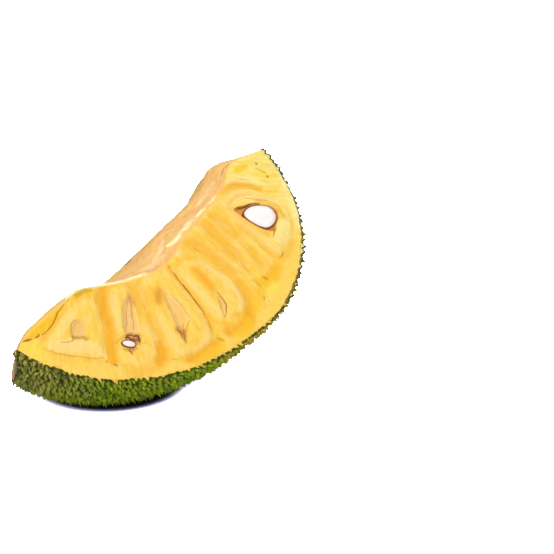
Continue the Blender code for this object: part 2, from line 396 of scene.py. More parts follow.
# %% [markdown]
# ## Trimming the skin with the knife
# The real skin was cut through wherever the knife passed, spines and all, which is why the cut
# edge looks toothed. A Boolean would do it slowly. Clipping each triangle where a signed
# distance changes sign is exact, quick, and keeps every number that the vertices carry.

# %% Clip a mesh where a number is negative
def clip_mesh(columns, faces, inside):
    """Keep the part of a triangle mesh where inside is positive. Columns go along."""
    keep = inside > 0
    count = keep[faces].sum(1)
    new_columns = [columns]
    new_faces = [faces[count == 3]]
    made = {}
    added = []

    def cut_point(a, b):
        """The vertex where the side from a to b is cut, made only once."""
        key = (min(a, b), max(a, b))
        if key not in made:
            t = inside[a] / (inside[a] - inside[b])
            made[key] = len(columns) + len(added)
            added.append(columns[a] + (columns[b] - columns[a]) * t)
        return made[key]

    extra = []
    for face in faces[(count == 1) | (count == 2)]:
        single = keep[face].sum() == 1
        lone = int(np.argmax(keep[face] if single else ~keep[face]))
        a, b, c = (int(v) for v in np.roll(face, -lone))
        ab = cut_point(a, b)
        ac = cut_point(a, c)
        extra += [(a, ab, ac)] if single else [(ab, b, c), (ab, c, ac)]
    if added:
        new_columns.append(np.array(added))
        new_faces.append(np.array(extra))
    columns = np.concatenate(new_columns)
    faces = np.concatenate(new_faces)
    used, flat = np.unique(faces, return_inverse=True)
    return columns[used], flat.reshape(-1, 3)


def outside_line(points, start, end):
    """Distance of points above a line from start to end, in their own cross-section."""
    run = (end - start)[:, 1:]
    normal = np.stack((-run[:, 1], run[:, 0]), -1)
    normal /= np.linalg.norm(normal, axis=1, keepdims=True)
    return ((points - start)[:, 1:] * normal).sum(1)


# %% Trim the rind at all three cuts and both ends
EDGE_WAVE = 0.10               # the tough rind ends a little above or below the soft flesh
END_REACH = 6.0                # how far round the skin the back cut's own end holds
END_RANGE = (-15.2, -13.8)     # x over which it stops to hold
CLOSED_END = 16.3              # past this the cuts go straight on
PLACE = slice(0, 3)            # what the columns of numbers hold: the raised point,
SMOOTH = slice(3, 6)           # the same point on the smooth skin,
OUTWARD = slice(6, 9)          # the way out of the skin,
RISE = 9                       # how far up its spine it is
TINT = 10                      # and the spine's own tint

leaning = lean * (spine_rise * climb)[:, None]
raised = skin + outward * spine_rise[:, None] + leaning
columns = np.column_stack((raised, skin, outward, rise, spine_tint[nearest]))


def cut_station(points):
    """Where along the fruit to look up the cuts for each point."""
    return np.clip(points[:, 0], -CLOSED_END, CLOSED_END)


def below_front_cut(points):
    """How far points lie below the front cut, whose edge waves a little in the rind."""
    x = points[:, 0]
    wave = EDGE_WAVE * (ripple(x * 1.15, 0, 21) + 0.5 * ripple(x * 2.9, 0, 22))
    return wave - points @ FRONT_NORMAL


def below_strip(points):
    """How far points lie below the strip."""
    x = cut_station(points)
    return -outside_line(points, knife_front_ridge(x), knife_back_ridge(x))


def below_back_cut(points):
    """How far points lie below the back cut, and before its edge at the stalk end."""
    x = cut_station(points)
    edge = around(x, skin_radius(x), back_edge_angle(x))
    below = -outside_line(points, knife_back_ridge(x), edge)
    angle = np.arctan2(points[:, 1], -points[:, 2])
    before = (back_edge_angle(x) - angle) * np.hypot(points[:, 1], points[:, 2])
    return np.minimum(below, before + END_REACH * ease(*END_RANGE, x))


for cut in (below_front_cut, below_strip, below_back_cut):
    columns, rind_faces = clip_mesh(columns, rind_faces, cut(columns[:, PLACE]))
print("rind after trimming:", len(rind_faces), "triangles")

# %% [markdown]
# ## The rind's thickness
# At the cut the rind shows its own section: only a thin green line outside, and yellow within,
# right up into the spines. A skirt of quads from the trimmed edge inwards gives that section, and
# tucks under the flesh. Each point carries its depth below the surface of the rind.

# %% Skirt along the trimmed edge
RIND_THICKNESS = 0.20
SKIRT_TUCK = 0.06              # how far the skirt's inner edge moves in under the flesh
TUCK_RADIUS = 0.8              # towards a point at this share of the skin's radius

edges = np.concatenate((rind_faces[:, [0, 1]], rind_faces[:, [1, 2]], rind_faces[:, [2, 0]]))
_, index, uses = np.unique(np.sort(edges, 1), axis=0, return_index=True, return_counts=True)
rim_edges = edges[index[uses == 1]]
rim = np.unique(rim_edges)
inner = {int(v): len(columns) + k for k, v in enumerate(rim)}
rim_x = columns[rim, SMOOTH][:, 0]
middle = around(rim_x, TUCK_RADIUS * skin_radius(rim_x), (back_edge_angle(rim_x) - FRONT_ANGLE) / 2)
towards = middle - columns[rim, SMOOTH]
towards /= np.linalg.norm(towards, axis=1, keepdims=True)
skirt = columns[rim].copy()
skirt[:, PLACE] = columns[rim, SMOOTH] - columns[rim, OUTWARD] * RIND_THICKNESS + towards * SKIRT_TUCK
skirt_depth = np.linalg.norm(skirt[:, PLACE] - columns[rim, PLACE], axis=1)
skirt_quads = [(b, a, inner[int(a)], inner[int(b)]) for a, b in rim_edges]
print("skirt:", len(skirt_quads), "quads, at most", round(float(skirt_depth.max()) * 10, 1), "mm deep")

# %% The rind's mesh
RIND_CLEARANCE = 0.02          # between the pressed rind and the table
UNDERSIDE = (0.86, 0.98)       # how squarely the skin has to face the table to lie in the dark
LIT_RANGE = (-4.0, 2.0)        # x over which the raised end gets its light back


# Painted shade: skin that faces the table near the foot is coloured darker.
def painted_underside_shade(rows):
    """How much painted shade darkens each point of the underside near the foot, from 0 to 1."""
    down = -(rows[:, OUTWARD] @ TABLE_UP)
    return ease(*UNDERSIDE, down) * (1 - ease(*LIT_RANGE, rows[:, SMOOTH][:, 0]))


rows = np.concatenate((columns, skirt))
rind_points = press_down(rows[:, PLACE], RIND_CLEARANCE)
rind_numbers = {
    "spine": rows[:, RISE],
    "tint": rows[:, TINT],
    "depth": np.concatenate((np.zeros(len(columns)), skirt_depth)),
    "below": painted_underside_shade(rows),
    "grain": rows[:, SMOOTH],
}
rind = new_piece("rind", rind_points, rind_faces.tolist() + skirt_quads, "rind",
                 ("jackfruit_wedge",), rind_numbers)

# %% [markdown]
# ## Marks on a cut surface
# A cut jackfruit is read by its marks: orange strands, pale rims, slits, stains and fine dark
# lines. Each is a short line or a closed outline on the cut, given by a few points in
# centimetres, x along the fruit and r away from its axis. One function turns any of them into a
# number between 0 and 1 over the whole surface, and the same number also presses or lifts it.

# %% Distances to lines and outlines
BEND_STEPS = 5                 # straight pieces between two given points
FAR = 9.0                      # centimetres, stands for no line at all


def bend(points, closed=False):
    """A smooth line through a few points."""
    points = list(points)
    if closed:
        points = points[-2:] + points + points[:2]
    knots = [(i, *point) for i, point in enumerate(points)]
    first, last = (2, len(points) - 2) if closed else (0, len(points) - 1)
    t = np.linspace(first, last, BEND_STEPS * (last - first) + 1)
    return np.stack((curve(knots, t, 1), curve(knots, t, 2)), -1)


def line_distance(line, a, b):
    """Distance of every (a, b) from a line, and how far along it the nearest place is."""
    best = np.full(np.shape(a), np.inf)
    along = np.zeros(np.shape(a))
    lengths = np.hypot(*np.diff(line, axis=0).T)
    total = lengths.sum()
    passed = 0.0
    for start, end, length in zip(line, line[1:], lengths):
        run = end - start
        ahead = (a - start[0]) * run[0] + (b - start[1]) * run[1]
        t = np.clip(ahead / max(length, 1e-9) ** 2, 0, 1)
        gap = np.hypot(a - start[0] - t * run[0], b - start[1] - t * run[1])
        along = np.where(gap < best, (passed + t * length) / total, along)
        best = np.minimum(best, gap)
        passed += length
    return best, along


def outline_distance(points, a, b):
    """Signed distance of every (a, b) from a smooth outline, negative inside it."""
    line = bend(points, closed=True)
    gap, _ = line_distance(line, a, b)
    inside = np.zeros(np.shape(a), bool)
    for (a0, b0), (a1, b1) in zip(line, line[1:]):
        crosses = (b0 > b) != (b1 > b)
        where = (a1 - a0) * (b - b0) / (b1 - b0 if b1 != b0 else 1e-9) + a0
        inside ^= crosses & (a < where)
    return np.where(inside, -gap, gap)


def nearest_outline(outlines, a, b):
    """Signed distance of every (a, b) from the nearest of several outlines."""
    return np.min([outline_distance(points, a, b) for points in outlines], 0)


square = ((0, 0), (2, 0), (2, 2), (0, 2))
print("the middle of a rounded square:", outline_distance(square, 1.0, 1.0).round(2), "from its edge")

# %% Marks drawn from distances
STROKE_ENDS = 0.04             # how blunt a mark's ends are, as a share of its length
LINE_ENDS = 0.05
DENT_WIDTH = 0.16              # a fine line presses the surface this far to each side
SLOW_WAVES = 0.6               # to a centimetre
QUICK_WAVES = 2.7


def taper(along, blunt):
    """How much of its full width a line has, thinner towards both ends."""
    return np.sqrt(np.sin(np.pi * np.clip(along, blunt, 1 - blunt)))


def strokes(marks, a, b):
    """Draw tapering lines: each mark is strength, half width, softness and its points."""
    total = np.zeros(np.shape(a))
    for strength, half, soft, points in marks:
        gap, along = line_distance(bend(points), a, b)
        edge = half * taper(along, STROKE_ENDS)
        total = np.maximum(total, strength * (1 - ease(edge, edge + soft, gap)))
    return total


def fine_lines(lines, a, b):
    """Signed distance to the nearest fine line, how dark that one is, and the dent they make."""
    best = np.full(np.shape(a), FAR)
    ink = np.zeros(np.shape(a))
    dent = np.zeros(np.shape(a))
    for strength, half, points in lines:
        gap, along = line_distance(bend(points), a, b)
        gap = gap - half * taper(along, LINE_ENDS)
        ink = np.where(gap < best, strength, ink)
        best = np.minimum(best, gap)
        dent = np.maximum(dent, strength * (1 - ease(0, DENT_WIDTH, gap)))
    return best, ink, dent


def patches(marks, a, b):
    """Fill closed outlines: each mark is strength, softness of the edge and its points."""
    total = np.zeros(np.shape(a))
    for strength, soft, points in marks:
        gap = outline_distance(points, a, b)
        total = np.maximum(total, strength * (1 - ease(-soft, soft, gap)))
    return total


def wander(a, b, broad, fine, seed):
    """Move places a little, so that marks drawn there get the uneven edges of grown things."""
    moved = []
    for axis, value in enumerate((a, b)):
        slow = ripple(a * SLOW_WAVES, b * SLOW_WAVES, seed + axis)
        quick = ripple(a * QUICK_WAVES, b * QUICK_WAVES, seed + 2 + axis)
        moved.append(value + broad * slow + fine * quick)
    return moved


# %% [markdown]
# ## The wedge's cross-sections
# The flesh is a closed tube of rings, one at each station along the fruit, as in the packed
# model, but fine enough to carry relief. Points are spent where they show: most of a ring lies
# on the front cut, fewer on the strip and the back, and a handful under the rind.

# %% Flat surfaces of the flesh before any relief
STATIONS = 440
FRONT_STEPS = 120
STRIP_STEPS = 24
BACK_STEPS = 64
UNDER_STEPS = 8
END_CROWDING = 0.45            # 0 spaces the stations evenly, 1 as a cosine
UNDER_INSET = 0.08             # the flesh under the rind lies this much deeper than its rims

share = np.linspace(0, 1, STATIONS)[:, None]
evenly = 2 * share - 1
crowded = -np.cos(np.pi * share)
station = ((LEFT_END + RIGHT_END) / 2
           + (RIGHT_END - LEFT_END) / 2 * (evenly * (1 - END_CROWDING) + crowded * END_CROWDING))
flesh_radius = skin_radius(station) - FLESH_INSET


def mix_points(start, end, count):
    """Points from start to end at every station, without the last."""
    return start + (end - start) * shares(count)[None, :, None]


front_r = flesh_radius + (front_ridge_distance(station) - flesh_radius) * shares(FRONT_STEPS)
front_x = np.broadcast_to(station, front_r.shape)
front_corner = on_front(station, front_ridge_distance(station))
back_corner = back_ridge(station)
back_rim = around(station, flesh_radius, back_edge_angle(station))
front_width = flesh_radius - front_ridge_distance(station)
strip_flat = mix_points(front_corner, back_corner, STRIP_STEPS)
back_flat = mix_points(back_corner, back_rim, BACK_STEPS)

strip_x = strip_flat[..., 0]
strip_width = np.linalg.norm(back_corner - front_corner, axis=-1)
strip_across = strip_width * shares(STRIP_STEPS)
back_x = back_flat[..., 0]
back_r = np.hypot(back_flat[..., 1], back_flat[..., 2])

back_angle = back_edge_angle(station)
under_angle = back_angle + (-FRONT_ANGLE - back_angle) * shares(UNDER_STEPS)
under_radius = flesh_radius - np.where(shares(UNDER_STEPS) > 0, UNDER_INSET, 0)
under = around(np.broadcast_to(station, under_angle.shape), under_radius, under_angle)
print("front cut, widest:", round(float(front_width.max()), 2), "cm",
      "strip, widest:", round(float(strip_width.max()), 2), "cm")

# %% [markdown]
# ## The bulbs on the front cut
# Each bulb is a fleshy bag round one seed, cut through here: soft pillows with a paler rim,
# narrow towards the core. The knife squashed those in the middle into thin upright folds. Their
# outlines swell the surface a little, and all the colour marks refer to the same places.

# %% Outlines of bulbs, hollows and slits on the front cut
BULBS = (
    ((-14.2, 3.9), (-13.2, 5.3), (-11.8, 6.5), (-10.6, 7.2), (-9.6, 6.0), (-8.6, 4.8),
     (-7.7, 3.3), (-8.5, 2.4), (-10.2, 2.5), (-12.0, 3.0), (-13.4, 3.4)),
    ((-10.1, 7.7), (-9.5, 8.6), (-8.4, 9.4), (-7.2, 9.4), (-6.2, 8.3), (-5.6, 7.2),
     (-5.3, 5.8), (-4.8, 4.5), (-4.6, 3.5), (-6.0, 3.1), (-7.2, 4.3), (-8.4, 5.9)),
    ((-6.1, 9.7), (-5.2, 10.4), (-3.6, 10.9), (-2.4, 10.7), (-1.4, 9.4), (-1.0, 8.0),
     (-0.8, 6.0), (-0.6, 4.4), (-2.0, 3.9), (-4.0, 3.9), (-4.6, 5.2), (-5.0, 7.2)),
    ((-0.6, 9.6), (0.6, 10.6), (2.0, 10.4), (3.1, 9.5), (3.5, 8.2), (3.2, 6.8), (2.7, 5.4),
     (1.8, 4.5), (0.5, 4.4), (-0.1, 5.4), (-0.2, 7.4)),
    ((3.9, 4.6), (4.4, 6.4), (4.6, 8.4), (5.2, 9.3), (5.7, 8.6), (5.5, 6.0), (4.9, 3.6)),
    ((6.2, 4.0), (6.1, 6.6), (6.4, 8.6), (6.9, 8.4), (7.1, 6.0), (6.9, 3.8)),
    ((7.5, 4.2), (7.5, 6.8), (7.9, 8.8), (8.4, 8.0), (8.4, 5.6), (8.1, 3.8)),
    ((8.9, 3.0), (10.3, 2.6), (11.8, 3.2), (13.1, 4.3), (13.5, 5.3), (12.9, 6.5), (11.9, 7.4),
     (10.5, 8.1), (9.5, 8.3), (8.9, 7.0), (8.7, 5.0)),
)
LARGE_HOLLOW = (
    (9.2, 3.15), (10.9, 3.6), (12.2, 4.4), (12.6, 5.1), (12.15, 5.85), (11.3, 6.25),
    (10.8, 6.65), (10.2, 6.3), (9.55, 5.4), (9.2, 4.3),
)
SMALL_HOLLOW = (
    (-9.1, 6.6), (-8.6, 6.45), (-8.0, 6.5), (-7.3, 6.7), (-6.9, 7.1), (-7.3, 7.7),
    (-8.0, 8.0), (-8.8, 7.85), (-9.25, 7.25),
)
SLITS = (
    ((-5.2, 4.2), (-5.4, 4.9), (-6.2, 6.1), (-6.9, 6.9), (-7.8, 6.7), (-7.9, 6.3), (-7.1, 5.3),
     (-6.0, 4.4)),
    ((-2.5, 5.5), (-2.1, 6.5), (-2.3, 7.7), (-2.8, 8.4), (-4.0, 8.7), (-3.7, 7.8), (-3.1, 6.6)),
    ((1.55, 7.7), (1.4, 8.4), (1.25, 9.1), (0.8, 9.5), (0.25, 9.9), (0.6, 9.1), (1.1, 8.4)),
    ((-11.9, 4.6), (-11.3, 3.9), (-10.5, 3.5), (-10.0, 3.9), (-10.5, 4.6), (-11.1, 4.9)),
)

print("front cut:", len(BULBS), "bulbs and", len(SLITS), "slits")

# %% [markdown]
# ## Colour marks on the front cut
# The strands between the bulbs are orange, the bulbs' rims pale, and the slits clear like wet
# paper. A few stains and many fine dark lines finish it. All of them are drawn as strokes or
# patches in the tables below, because a few placed marks look more like one certain fruit than
# noise does. The noise in the material then breaks them up.

# %% Orange strands and pale rims: strength, half width, softness, points
ORANGE_STRANDS = (
    (0.95, 0.12, 0.65, ((-10.4, 7.6), (-9.8, 6.8), (-8.8, 5.6), (-8.0, 4.3), (-7.3, 3.5), (-6.4, 2.6))),
    (0.85, 0.13, 0.58, ((-7.6, 3.4), (-7.0, 2.9), (-6.4, 2.6))),
    (0.43, 0.08, 0.87, ((-7.0, 9.6), (-5.9, 8.3), (-5.3, 7.3), (-5.0, 5.8), (-4.6, 4.4), (-4.2, 3.4))),
    (0.95, 0.15, 0.72, ((-7.4, 9.7), (-6.7, 9.4), (-6.2, 8.6))),
    (0.47, 0.15, 0.87, ((-4.4, 3.6), (-4.1, 4.6), (-4.3, 5.6))),
    (0.57, 0.05, 0.43, ((-0.2, 4.0), (-0.4, 5.6), (-0.7, 8.0), (-1.2, 9.4), (-1.9, 10.6))),
    (0.47, 0.12, 0.58, ((-10.2, 8.9), (-9.0, 9.7), (-7.8, 10.0), (-6.7, 9.9))),
    (0.95, 0.18, 0.72, ((-5.2, 10.9), (-4.0, 11.3), (-2.6, 11.2), (-1.6, 10.9))),
    (0.95, 0.21, 0.72, ((-0.4, 11.0), (0.9, 11.4), (2.0, 11.1), (2.9, 10.4))),
    (0.66, 0.16, 0.72, ((2.9, 10.4), (3.5, 9.4), (3.8, 8.2))),
    (0.57, 0.24, 1.01, ((2.8, 3.2), (3.5, 4.2), (3.9, 5.6), (4.0, 7.2))),
    (0.55, 0.22, 0.80, ((5.4, 2.4), (5.9, 3.8), (5.8, 5.2), (5.3, 6.4))),
    (0.50, 0.05, 0.45, ((5.95, 4.6), (6.05, 6.0), (5.9, 7.0), (5.5, 8.2))),
    (0.45, 0.14, 0.65, ((6.9, 2.4), (7.2, 3.8), (7.3, 5.0))),
    (0.40, 0.10, 0.55, ((7.0, 5.8), (7.2, 7.0), (6.9, 8.4))),
    (0.36, 0.08, 0.51, ((8.2, 4.6), (8.5, 6.0), (8.4, 7.2))),
    (0.47, 0.05, 0.36, ((8.55, 7.6), (8.7, 8.4), (9.0, 9.0))),
    (0.76, 0.07, 0.51, ((9.4, 1.2), (11.0, 1.6), (12.3, 2.3), (13.0, 2.9))),
    (0.47, 0.07, 0.58, ((9.2, 8.7), (10.4, 8.6), (11.4, 8.2))),
    (0.35, 0.08, 0.58, ((9.0, 3.2), (9.0, 4.2), (9.3, 5.4), (9.9, 6.4))),
    (0.66, 0.04, 0.51, ((11.6, 3.6), (12.5, 4.3), (12.9, 5.0), (12.6, 5.9))),
    (0.85, 0.07, 0.72, ((1.4, 5.6), (1.35, 6.4), (1.3, 7.4))),
    (0.9, 0.04, 0.70, ((-3.5, 5.8), (-3.1, 5.5), (-2.85, 5.2))),
    (0.66, 0.08, 0.29, ((-14.9, 2.7), (-14.4, 2.8), (-13.9, 2.9))),
    (0.47, 0.06, 0.43, ((1.2, 10.2), (1.7, 10.7), (1.5, 11.4))),
    (0.76, 0.18, 0.72, ((5.6, 9.4), (6.6, 9.6), (8.0, 9.2))),
)
PALE_RIMS = (
    (1.0, 0.40, 0.45, ((-13.6, 4.2), (-12.8, 4.8), (-11.6, 5.3), (-10.9, 6.0))),
    (0.8, 0.30, 0.40, ((-11.9, 5.4), (-11.1, 6.2), (-10.7, 6.8))),
    (0.7, 0.18, 0.40, ((-13.8, 3.8), (-12.6, 3.6), (-11.4, 3.3), (-10.0, 3.0))),
    (0.2, 0.20, 0.45, ((-9.3, 6.4), (-9.5, 7.6), (-9.0, 8.6), (-7.9, 9.1), (-6.9, 8.9))),
    (0.7, 0.18, 0.40, ((-6.6, 7.0), (-6.2, 7.8), (-6.6, 8.5))),
    (0.7, 0.15, 0.40, ((-8.1, 5.9), (-7.1, 4.7), (-6.3, 3.6))),
    (0.6, 0.15, 0.40, ((-4.8, 7.0), (-5.0, 8.6), (-5.5, 9.7), (-4.9, 10.3))),
    (0.8, 0.12, 0.35, ((-4.2, 10.6), (-3.0, 10.6), (-2.1, 10.1), (-1.5, 9.2))),
    (1.0, 0.24, 0.26, ((2.5, 5.8), (2.95, 7.2), (3.1, 8.2), (2.95, 9.2), (2.1, 10.0))),
    (0.7, 0.16, 0.35, ((0.2, 5.2), (0.15, 7.0), (0.2, 8.8), (0.0, 9.8))),
    (0.35, 0.14, 0.35, ((3.9, 4.7), (4.6, 6.0), (5.0, 7.2), (5.4, 8.4), (5.3, 9.0))),
    (0.30, 0.16, 0.30, ((6.6, 4.4), (6.6, 6.0), (6.7, 8.6))),
    (0.35, 0.12, 0.25, ((7.9, 5.2), (8.0, 6.8), (8.0, 8.8))),
    (0.7, 0.24, 0.50, ((8.6, 3.2), (8.7, 5.0), (9.1, 7.0), (9.5, 8.1))),
    (0.8, 0.34, 0.60, ((8.8, 2.4), (10.2, 2.4), (11.4, 3.0), (12.4, 3.8), (13.2, 4.8))),
    (0.9, 0.40, 0.60, ((10.2, 7.4), (11.2, 7.1), (12.2, 6.6))),
    (0.9, 0.18, 0.25, ((1.1, 3.65), (1.4, 3.6), (1.7, 3.7))),
    (0.9, 0.16, 0.45, ((10.8, 0.9), (11.8, 1.1), (12.8, 1.7), (13.8, 2.5))),
    (0.5, 0.12, 0.40, ((12.9, 1.0), (13.8, 1.2), (14.6, 1.6))),
)
print("strands:", len(ORANGE_STRANDS), "pale rims:", len(PALE_RIMS))

# %% Patches: strength, softness, points
TRANSLUCENT = (
    (0.8, 0.30, SLITS[0]),
    (0.65, 0.35, SLITS[1]),
    (0.6, 0.16, SLITS[2]),
    (0.8, 0.22, SLITS[3]),
    (0.7, 0.16, ((-8.1, 6.6), (-7.6, 6.5), (-7.1, 7.0), (-7.4, 7.5), (-8.0, 7.4))),
)
LEMON_PATCHES = (
    (0.9, 0.45, ((-15.6, 3.0), (-14.6, 3.0), (-14.2, 3.6), (-14.6, 4.4), (-15.2, 4.2))),
    (0.9, 0.40, ((11.9, 0.4), (13.0, 0.3), (13.9, 0.5), (13.4, 1.1), (12.4, 1.0))),
    (0.7, 0.30, ((4.9, 8.8), (5.4, 8.9), (5.5, 9.5), (5.0, 9.5))),
    (0.9, 0.50, ((4.9, 10.2), (6.6, 9.7), (7.0, 10.4), (5.8, 10.8))),
    (0.7, 0.40, ((5.6, 8.4), (6.2, 8.4), (6.2, 9.2), (5.8, 9.2))),
    (0.8, 0.60, ((13.6, 1.4), (14.8, 1.4), (14.9, 2.6), (13.8, 2.6))),
    (0.5, 0.40, ((-2.0, 10.6), (-1.2, 10.4), (-1.0, 11.2), (-1.8, 11.3))),
)
print("patches:", len(TRANSLUCENT), "clear and", len(LEMON_PATCHES), "lemon")

# %% Bright rag and stains: strength, half width, softness, points
BRIGHT_RAG = (
    (1.0, 0.24, 0.14, ((-14.6, 2.7), (-13.4, 2.55), (-12.2, 2.45), (-11.2, 2.15), (-10.2, 1.9))),
    (0.7, 0.10, 0.30, ((-9.6, 1.85), (-8.4, 1.95), (-7.4, 2.2))),
    (0.8, 0.20, 0.50, ((-4.6, 11.6), (-3.4, 11.5), (-2.0, 11.5))),
    (0.8, 0.20, 0.50, ((-0.2, 11.6), (1.2, 11.6), (1.9, 11.2))),
    (0.6, 0.20, 0.50, ((3.0, 10.8), (4.2, 10.2), (5.4, 9.6), (7.0, 9.5), (8.4, 9.1))),
    (0.7, 0.12, 0.30, ((12.4, 0.6), (13.0, 0.55), (13.6, 0.6))),
    (0.5, 0.10, 0.40, ((12.8, 3.2), (13.6, 3.6), (14.2, 3.8))),
)
BROWN_STAINS = (
    (0.28, 0.02, 0.55, ((-3.5, 5.8), (-3.15, 5.5), (-2.9, 5.3))),
    (0.8, 0.06, 0.22, ((-4.2, 8.5), (-4.08, 8.8), (-4.0, 9.1))),
    (0.7, 0.05, 0.25, ((-3.75, 8.8), (-4.0, 9.1), (-4.35, 9.55))),
    (0.45, 0.22, 0.40, ((-3.85, 8.5), (-4.1, 9.1))),
    (0.65, 0.12, 0.18, ((-3.9, 8.8), (-4.15, 9.2), (-4.35, 9.6))),
    (0.9, 0.05, 0.14, ((-8.65, 7.6), (-8.75, 7.75), (-8.85, 7.95))),
    (0.4, 0.05, 0.22, ((-8.9, 7.4), (-8.6, 7.7), (-8.0, 7.75))),
    (0.5, 0.12, 0.22, ((-7.9, 7.0), (-7.5, 7.2))),
    (0.7, 0.05, 0.20, ((-8.1, 6.8), (-7.75, 6.65), (-7.4, 6.95), (-7.15, 7.15))),
    (0.6, 0.05, 0.20, ((-7.2, 7.2), (-7.5, 7.45), (-8.0, 7.5))),
    (0.5, 0.04, 0.16, ((-7.9, 7.05), (-7.55, 7.15), (-7.35, 7.3))),
    (0.7, 0.05, 0.14, ((6.15, 9.1), (6.35, 9.4))),
    (0.8, 0.06, 0.10, ((14.75, 0.95), (14.9, 1.0))),
    (0.9, 0.06, 0.10, ((14.6, 2.4), (14.75, 2.4))),
    (0.4, 0.04, 0.10, ((14.3, 1.3), (14.6, 1.7), (14.8, 2.1))),
    (0.3, 0.04, 0.34, ((-5.2, 4.2), (-5.4, 4.9))),
)
GREEN_STAINS = (
    (0.7, 0.08, 0.26, ((-11.75, 4.5), (-11.4, 4.65), (-11.1, 4.9), (-11.0, 5.15))),
    (0.9, 0.05, 0.12, ((-10.6, 7.8), (-10.55, 8.05))),
    (0.35, 0.04, 0.20, ((5.1, 8.8), (5.25, 9.3), (5.1, 9.7))),
    (0.6, 0.05, 0.14, ((-1.7, 10.9), (-1.5, 11.3))),
    (0.5, 0.10, 0.30, ((-8.9, 1.9), (-8.2, 1.95), (-7.5, 2.15))),
)
print("stains:", len(BROWN_STAINS), "brown and", len(GREEN_STAINS), "green")

# %% Fine dark lines: strength, half width, points
DARK_LINES = (
    (0.9, 0.026, ((-8.15, 6.75), (-7.8, 6.62), (-7.45, 6.9), (-7.12, 7.1))),
    (0.8, 0.022, ((-7.15, 7.12), (-7.35, 7.4), (-7.6, 7.42))),
    (0.8, 0.022, ((-7.95, 7.0), (-7.6, 7.15), (-7.4, 7.3))),
    (0.5, 0.016, ((-7.9, 7.5), (-7.6, 7.75), (-7.2, 7.85))),
    (0.9, 0.030, ((-4.0, 8.4), (-4.1, 8.8), (-4.3, 9.2))),
    (0.6, 0.018, ((-3.75, 8.85), (-3.98, 9.1), (-4.35, 9.6))),
    (0.4, 0.014, ((-3.2, 8.35), (-3.6, 8.7))),
    (0.9, 0.035, ((-15.2, 2.62), (-14.9, 2.72), (-14.4, 2.8))),
    (0.9, 0.030, ((-14.15, 2.95), (-13.9, 2.95), (-13.7, 2.86))),
    (0.7, 0.022, ((-13.6, 3.0), (-12.9, 2.98), (-12.0, 2.72), (-11.0, 2.25), (-10.0, 1.98), (-9.5, 1.9))),
    (0.4, 0.018, ((-14.2, 3.9), (-13.9, 4.5), (-13.2, 5.3), (-12.5, 5.8), (-11.8, 6.5), (-11.0, 7.0))),
    (0.55, 0.022, ((-12.9, 4.3), (-12.4, 4.55), (-11.9, 4.62), (-11.5, 4.1), (-11.1, 3.65), (-10.5, 3.45))),
    (0.5, 0.022, ((-11.05, 7.45), (-10.8, 7.3))),
    (0.30, 0.014, ((-5.9, 4.2), (-6.9, 5.0), (-7.7, 5.9), (-8.1, 6.5))),
    (0.45, 0.018, ((-5.5, 4.4), (-6.1, 4.9), (-6.9, 5.6), (-7.8, 6.4))),
    (0.50, 0.022, ((-5.3, 4.3), (-5.7, 5.0), (-6.4, 5.8), (-7.1, 6.6))),
    (0.30, 0.014, ((-5.2, 4.2), (-5.4, 4.9), (-6.0, 6.0), (-6.8, 7.0))),
    (0.45, 0.020, ((-6.4, 10.0), (-6.1, 10.3))),
    (0.40, 0.018, ((-2.8, 5.8), (-3.2, 6.8), (-3.7, 7.8), (-3.9, 8.4))),
    (0.35, 0.018, ((-2.1, 5.9), (-2.2, 7.2), (-2.5, 8.3))),
    (0.40, 0.016, ((-2.7, 8.5), (-3.3, 8.8), (-3.7, 9.1))),
    (0.35, 0.014, ((-3.1, 7.4), (-3.4, 8.0), (-3.8, 8.7))),
    (0.95, 0.035, ((-0.22, 4.0), (-0.33, 5.0), (-0.5, 6.0), (-0.6, 7.0), (-0.75, 8.0), (-1.05, 9.1))),
    (0.4, 0.022, ((-1.0, 9.0), (-1.4, 9.7), (-1.8, 10.5))),
    (0.7, 0.026, ((1.55, 7.7), (1.42, 8.3), (1.25, 9.1), (0.8, 9.5), (0.25, 9.9))),
    (0.6, 0.022, ((1.0, 8.5), (0.7, 9.0), (0.25, 9.8))),
    (0.45, 0.025, ((3.0, 3.9), (3.25, 4.4))),
    (0.55, 0.026, ((4.5, 10.65), (4.85, 10.3))),
    (0.4, 0.022, ((5.0, 10.6), (5.1, 10.45))),
    (0.6, 0.024, ((9.0, 8.55), (9.4, 8.55), (9.8, 8.35))),
    (0.7, 0.022, ((10.35, 2.75), (11.0, 3.0), (11.8, 3.6), (12.6, 4.15))),
    (0.95, 0.045, ((9.16, 3.12), (9.6, 3.24), (10.2, 3.40), (10.9, 3.58), (11.6, 3.95))),
    (0.80, 0.030, ((9.18, 3.20), (9.22, 3.8), (9.32, 4.4), (9.55, 5.1), (9.9, 5.8))),
    (0.4, 0.018, ((10.3, 0.95), (11.2, 1.4), (12.0, 1.9), (12.8, 2.4))),
    (0.4, 0.018, ((11.6, 1.05), (12.2, 1.4), (12.8, 1.95))),
    (0.7, 0.030, ((10.75, 6.6), (10.4, 6.7), (10.1, 6.95))),
    (0.3, 0.018, ((13.6, 2.4), (14.2, 2.8))),
)
print("fine lines:", len(DARK_LINES))

# %% [markdown]
# ## Fibres run from the core to the rind
# The rag between the bulbs is made of fibres that fan out from the core, leaning more towards
# the ends. A coordinate that stays the same along one fibre lets every fine texture, in the mesh
# and in the material, be stretched along the fibres as it is in the fruit.

# %% The coordinate across the fibres
FIBRE_LEAN = (                 # x, how far a fibre moves sideways on each centimetre outwards
    (-16.0, -1.1), (-12.0, -0.9), (-8.9, -0.78), (-5.2, -0.44), (-0.5, -0.22), (3.0, 0.0),
    (6.5, 0.0), (9.0, 0.15), (12.0, 0.9), (15.0, 1.8),
)
LEAN_CENTRE = 6.0              # distance from the axis where a fibre's coordinate equals its x
LEAN_SHARE = 0.9
LEAN_ROUNDS = 8                # the lean depends on the fibre, so it is found in rounds
FIBRE_WAVE = 0.22


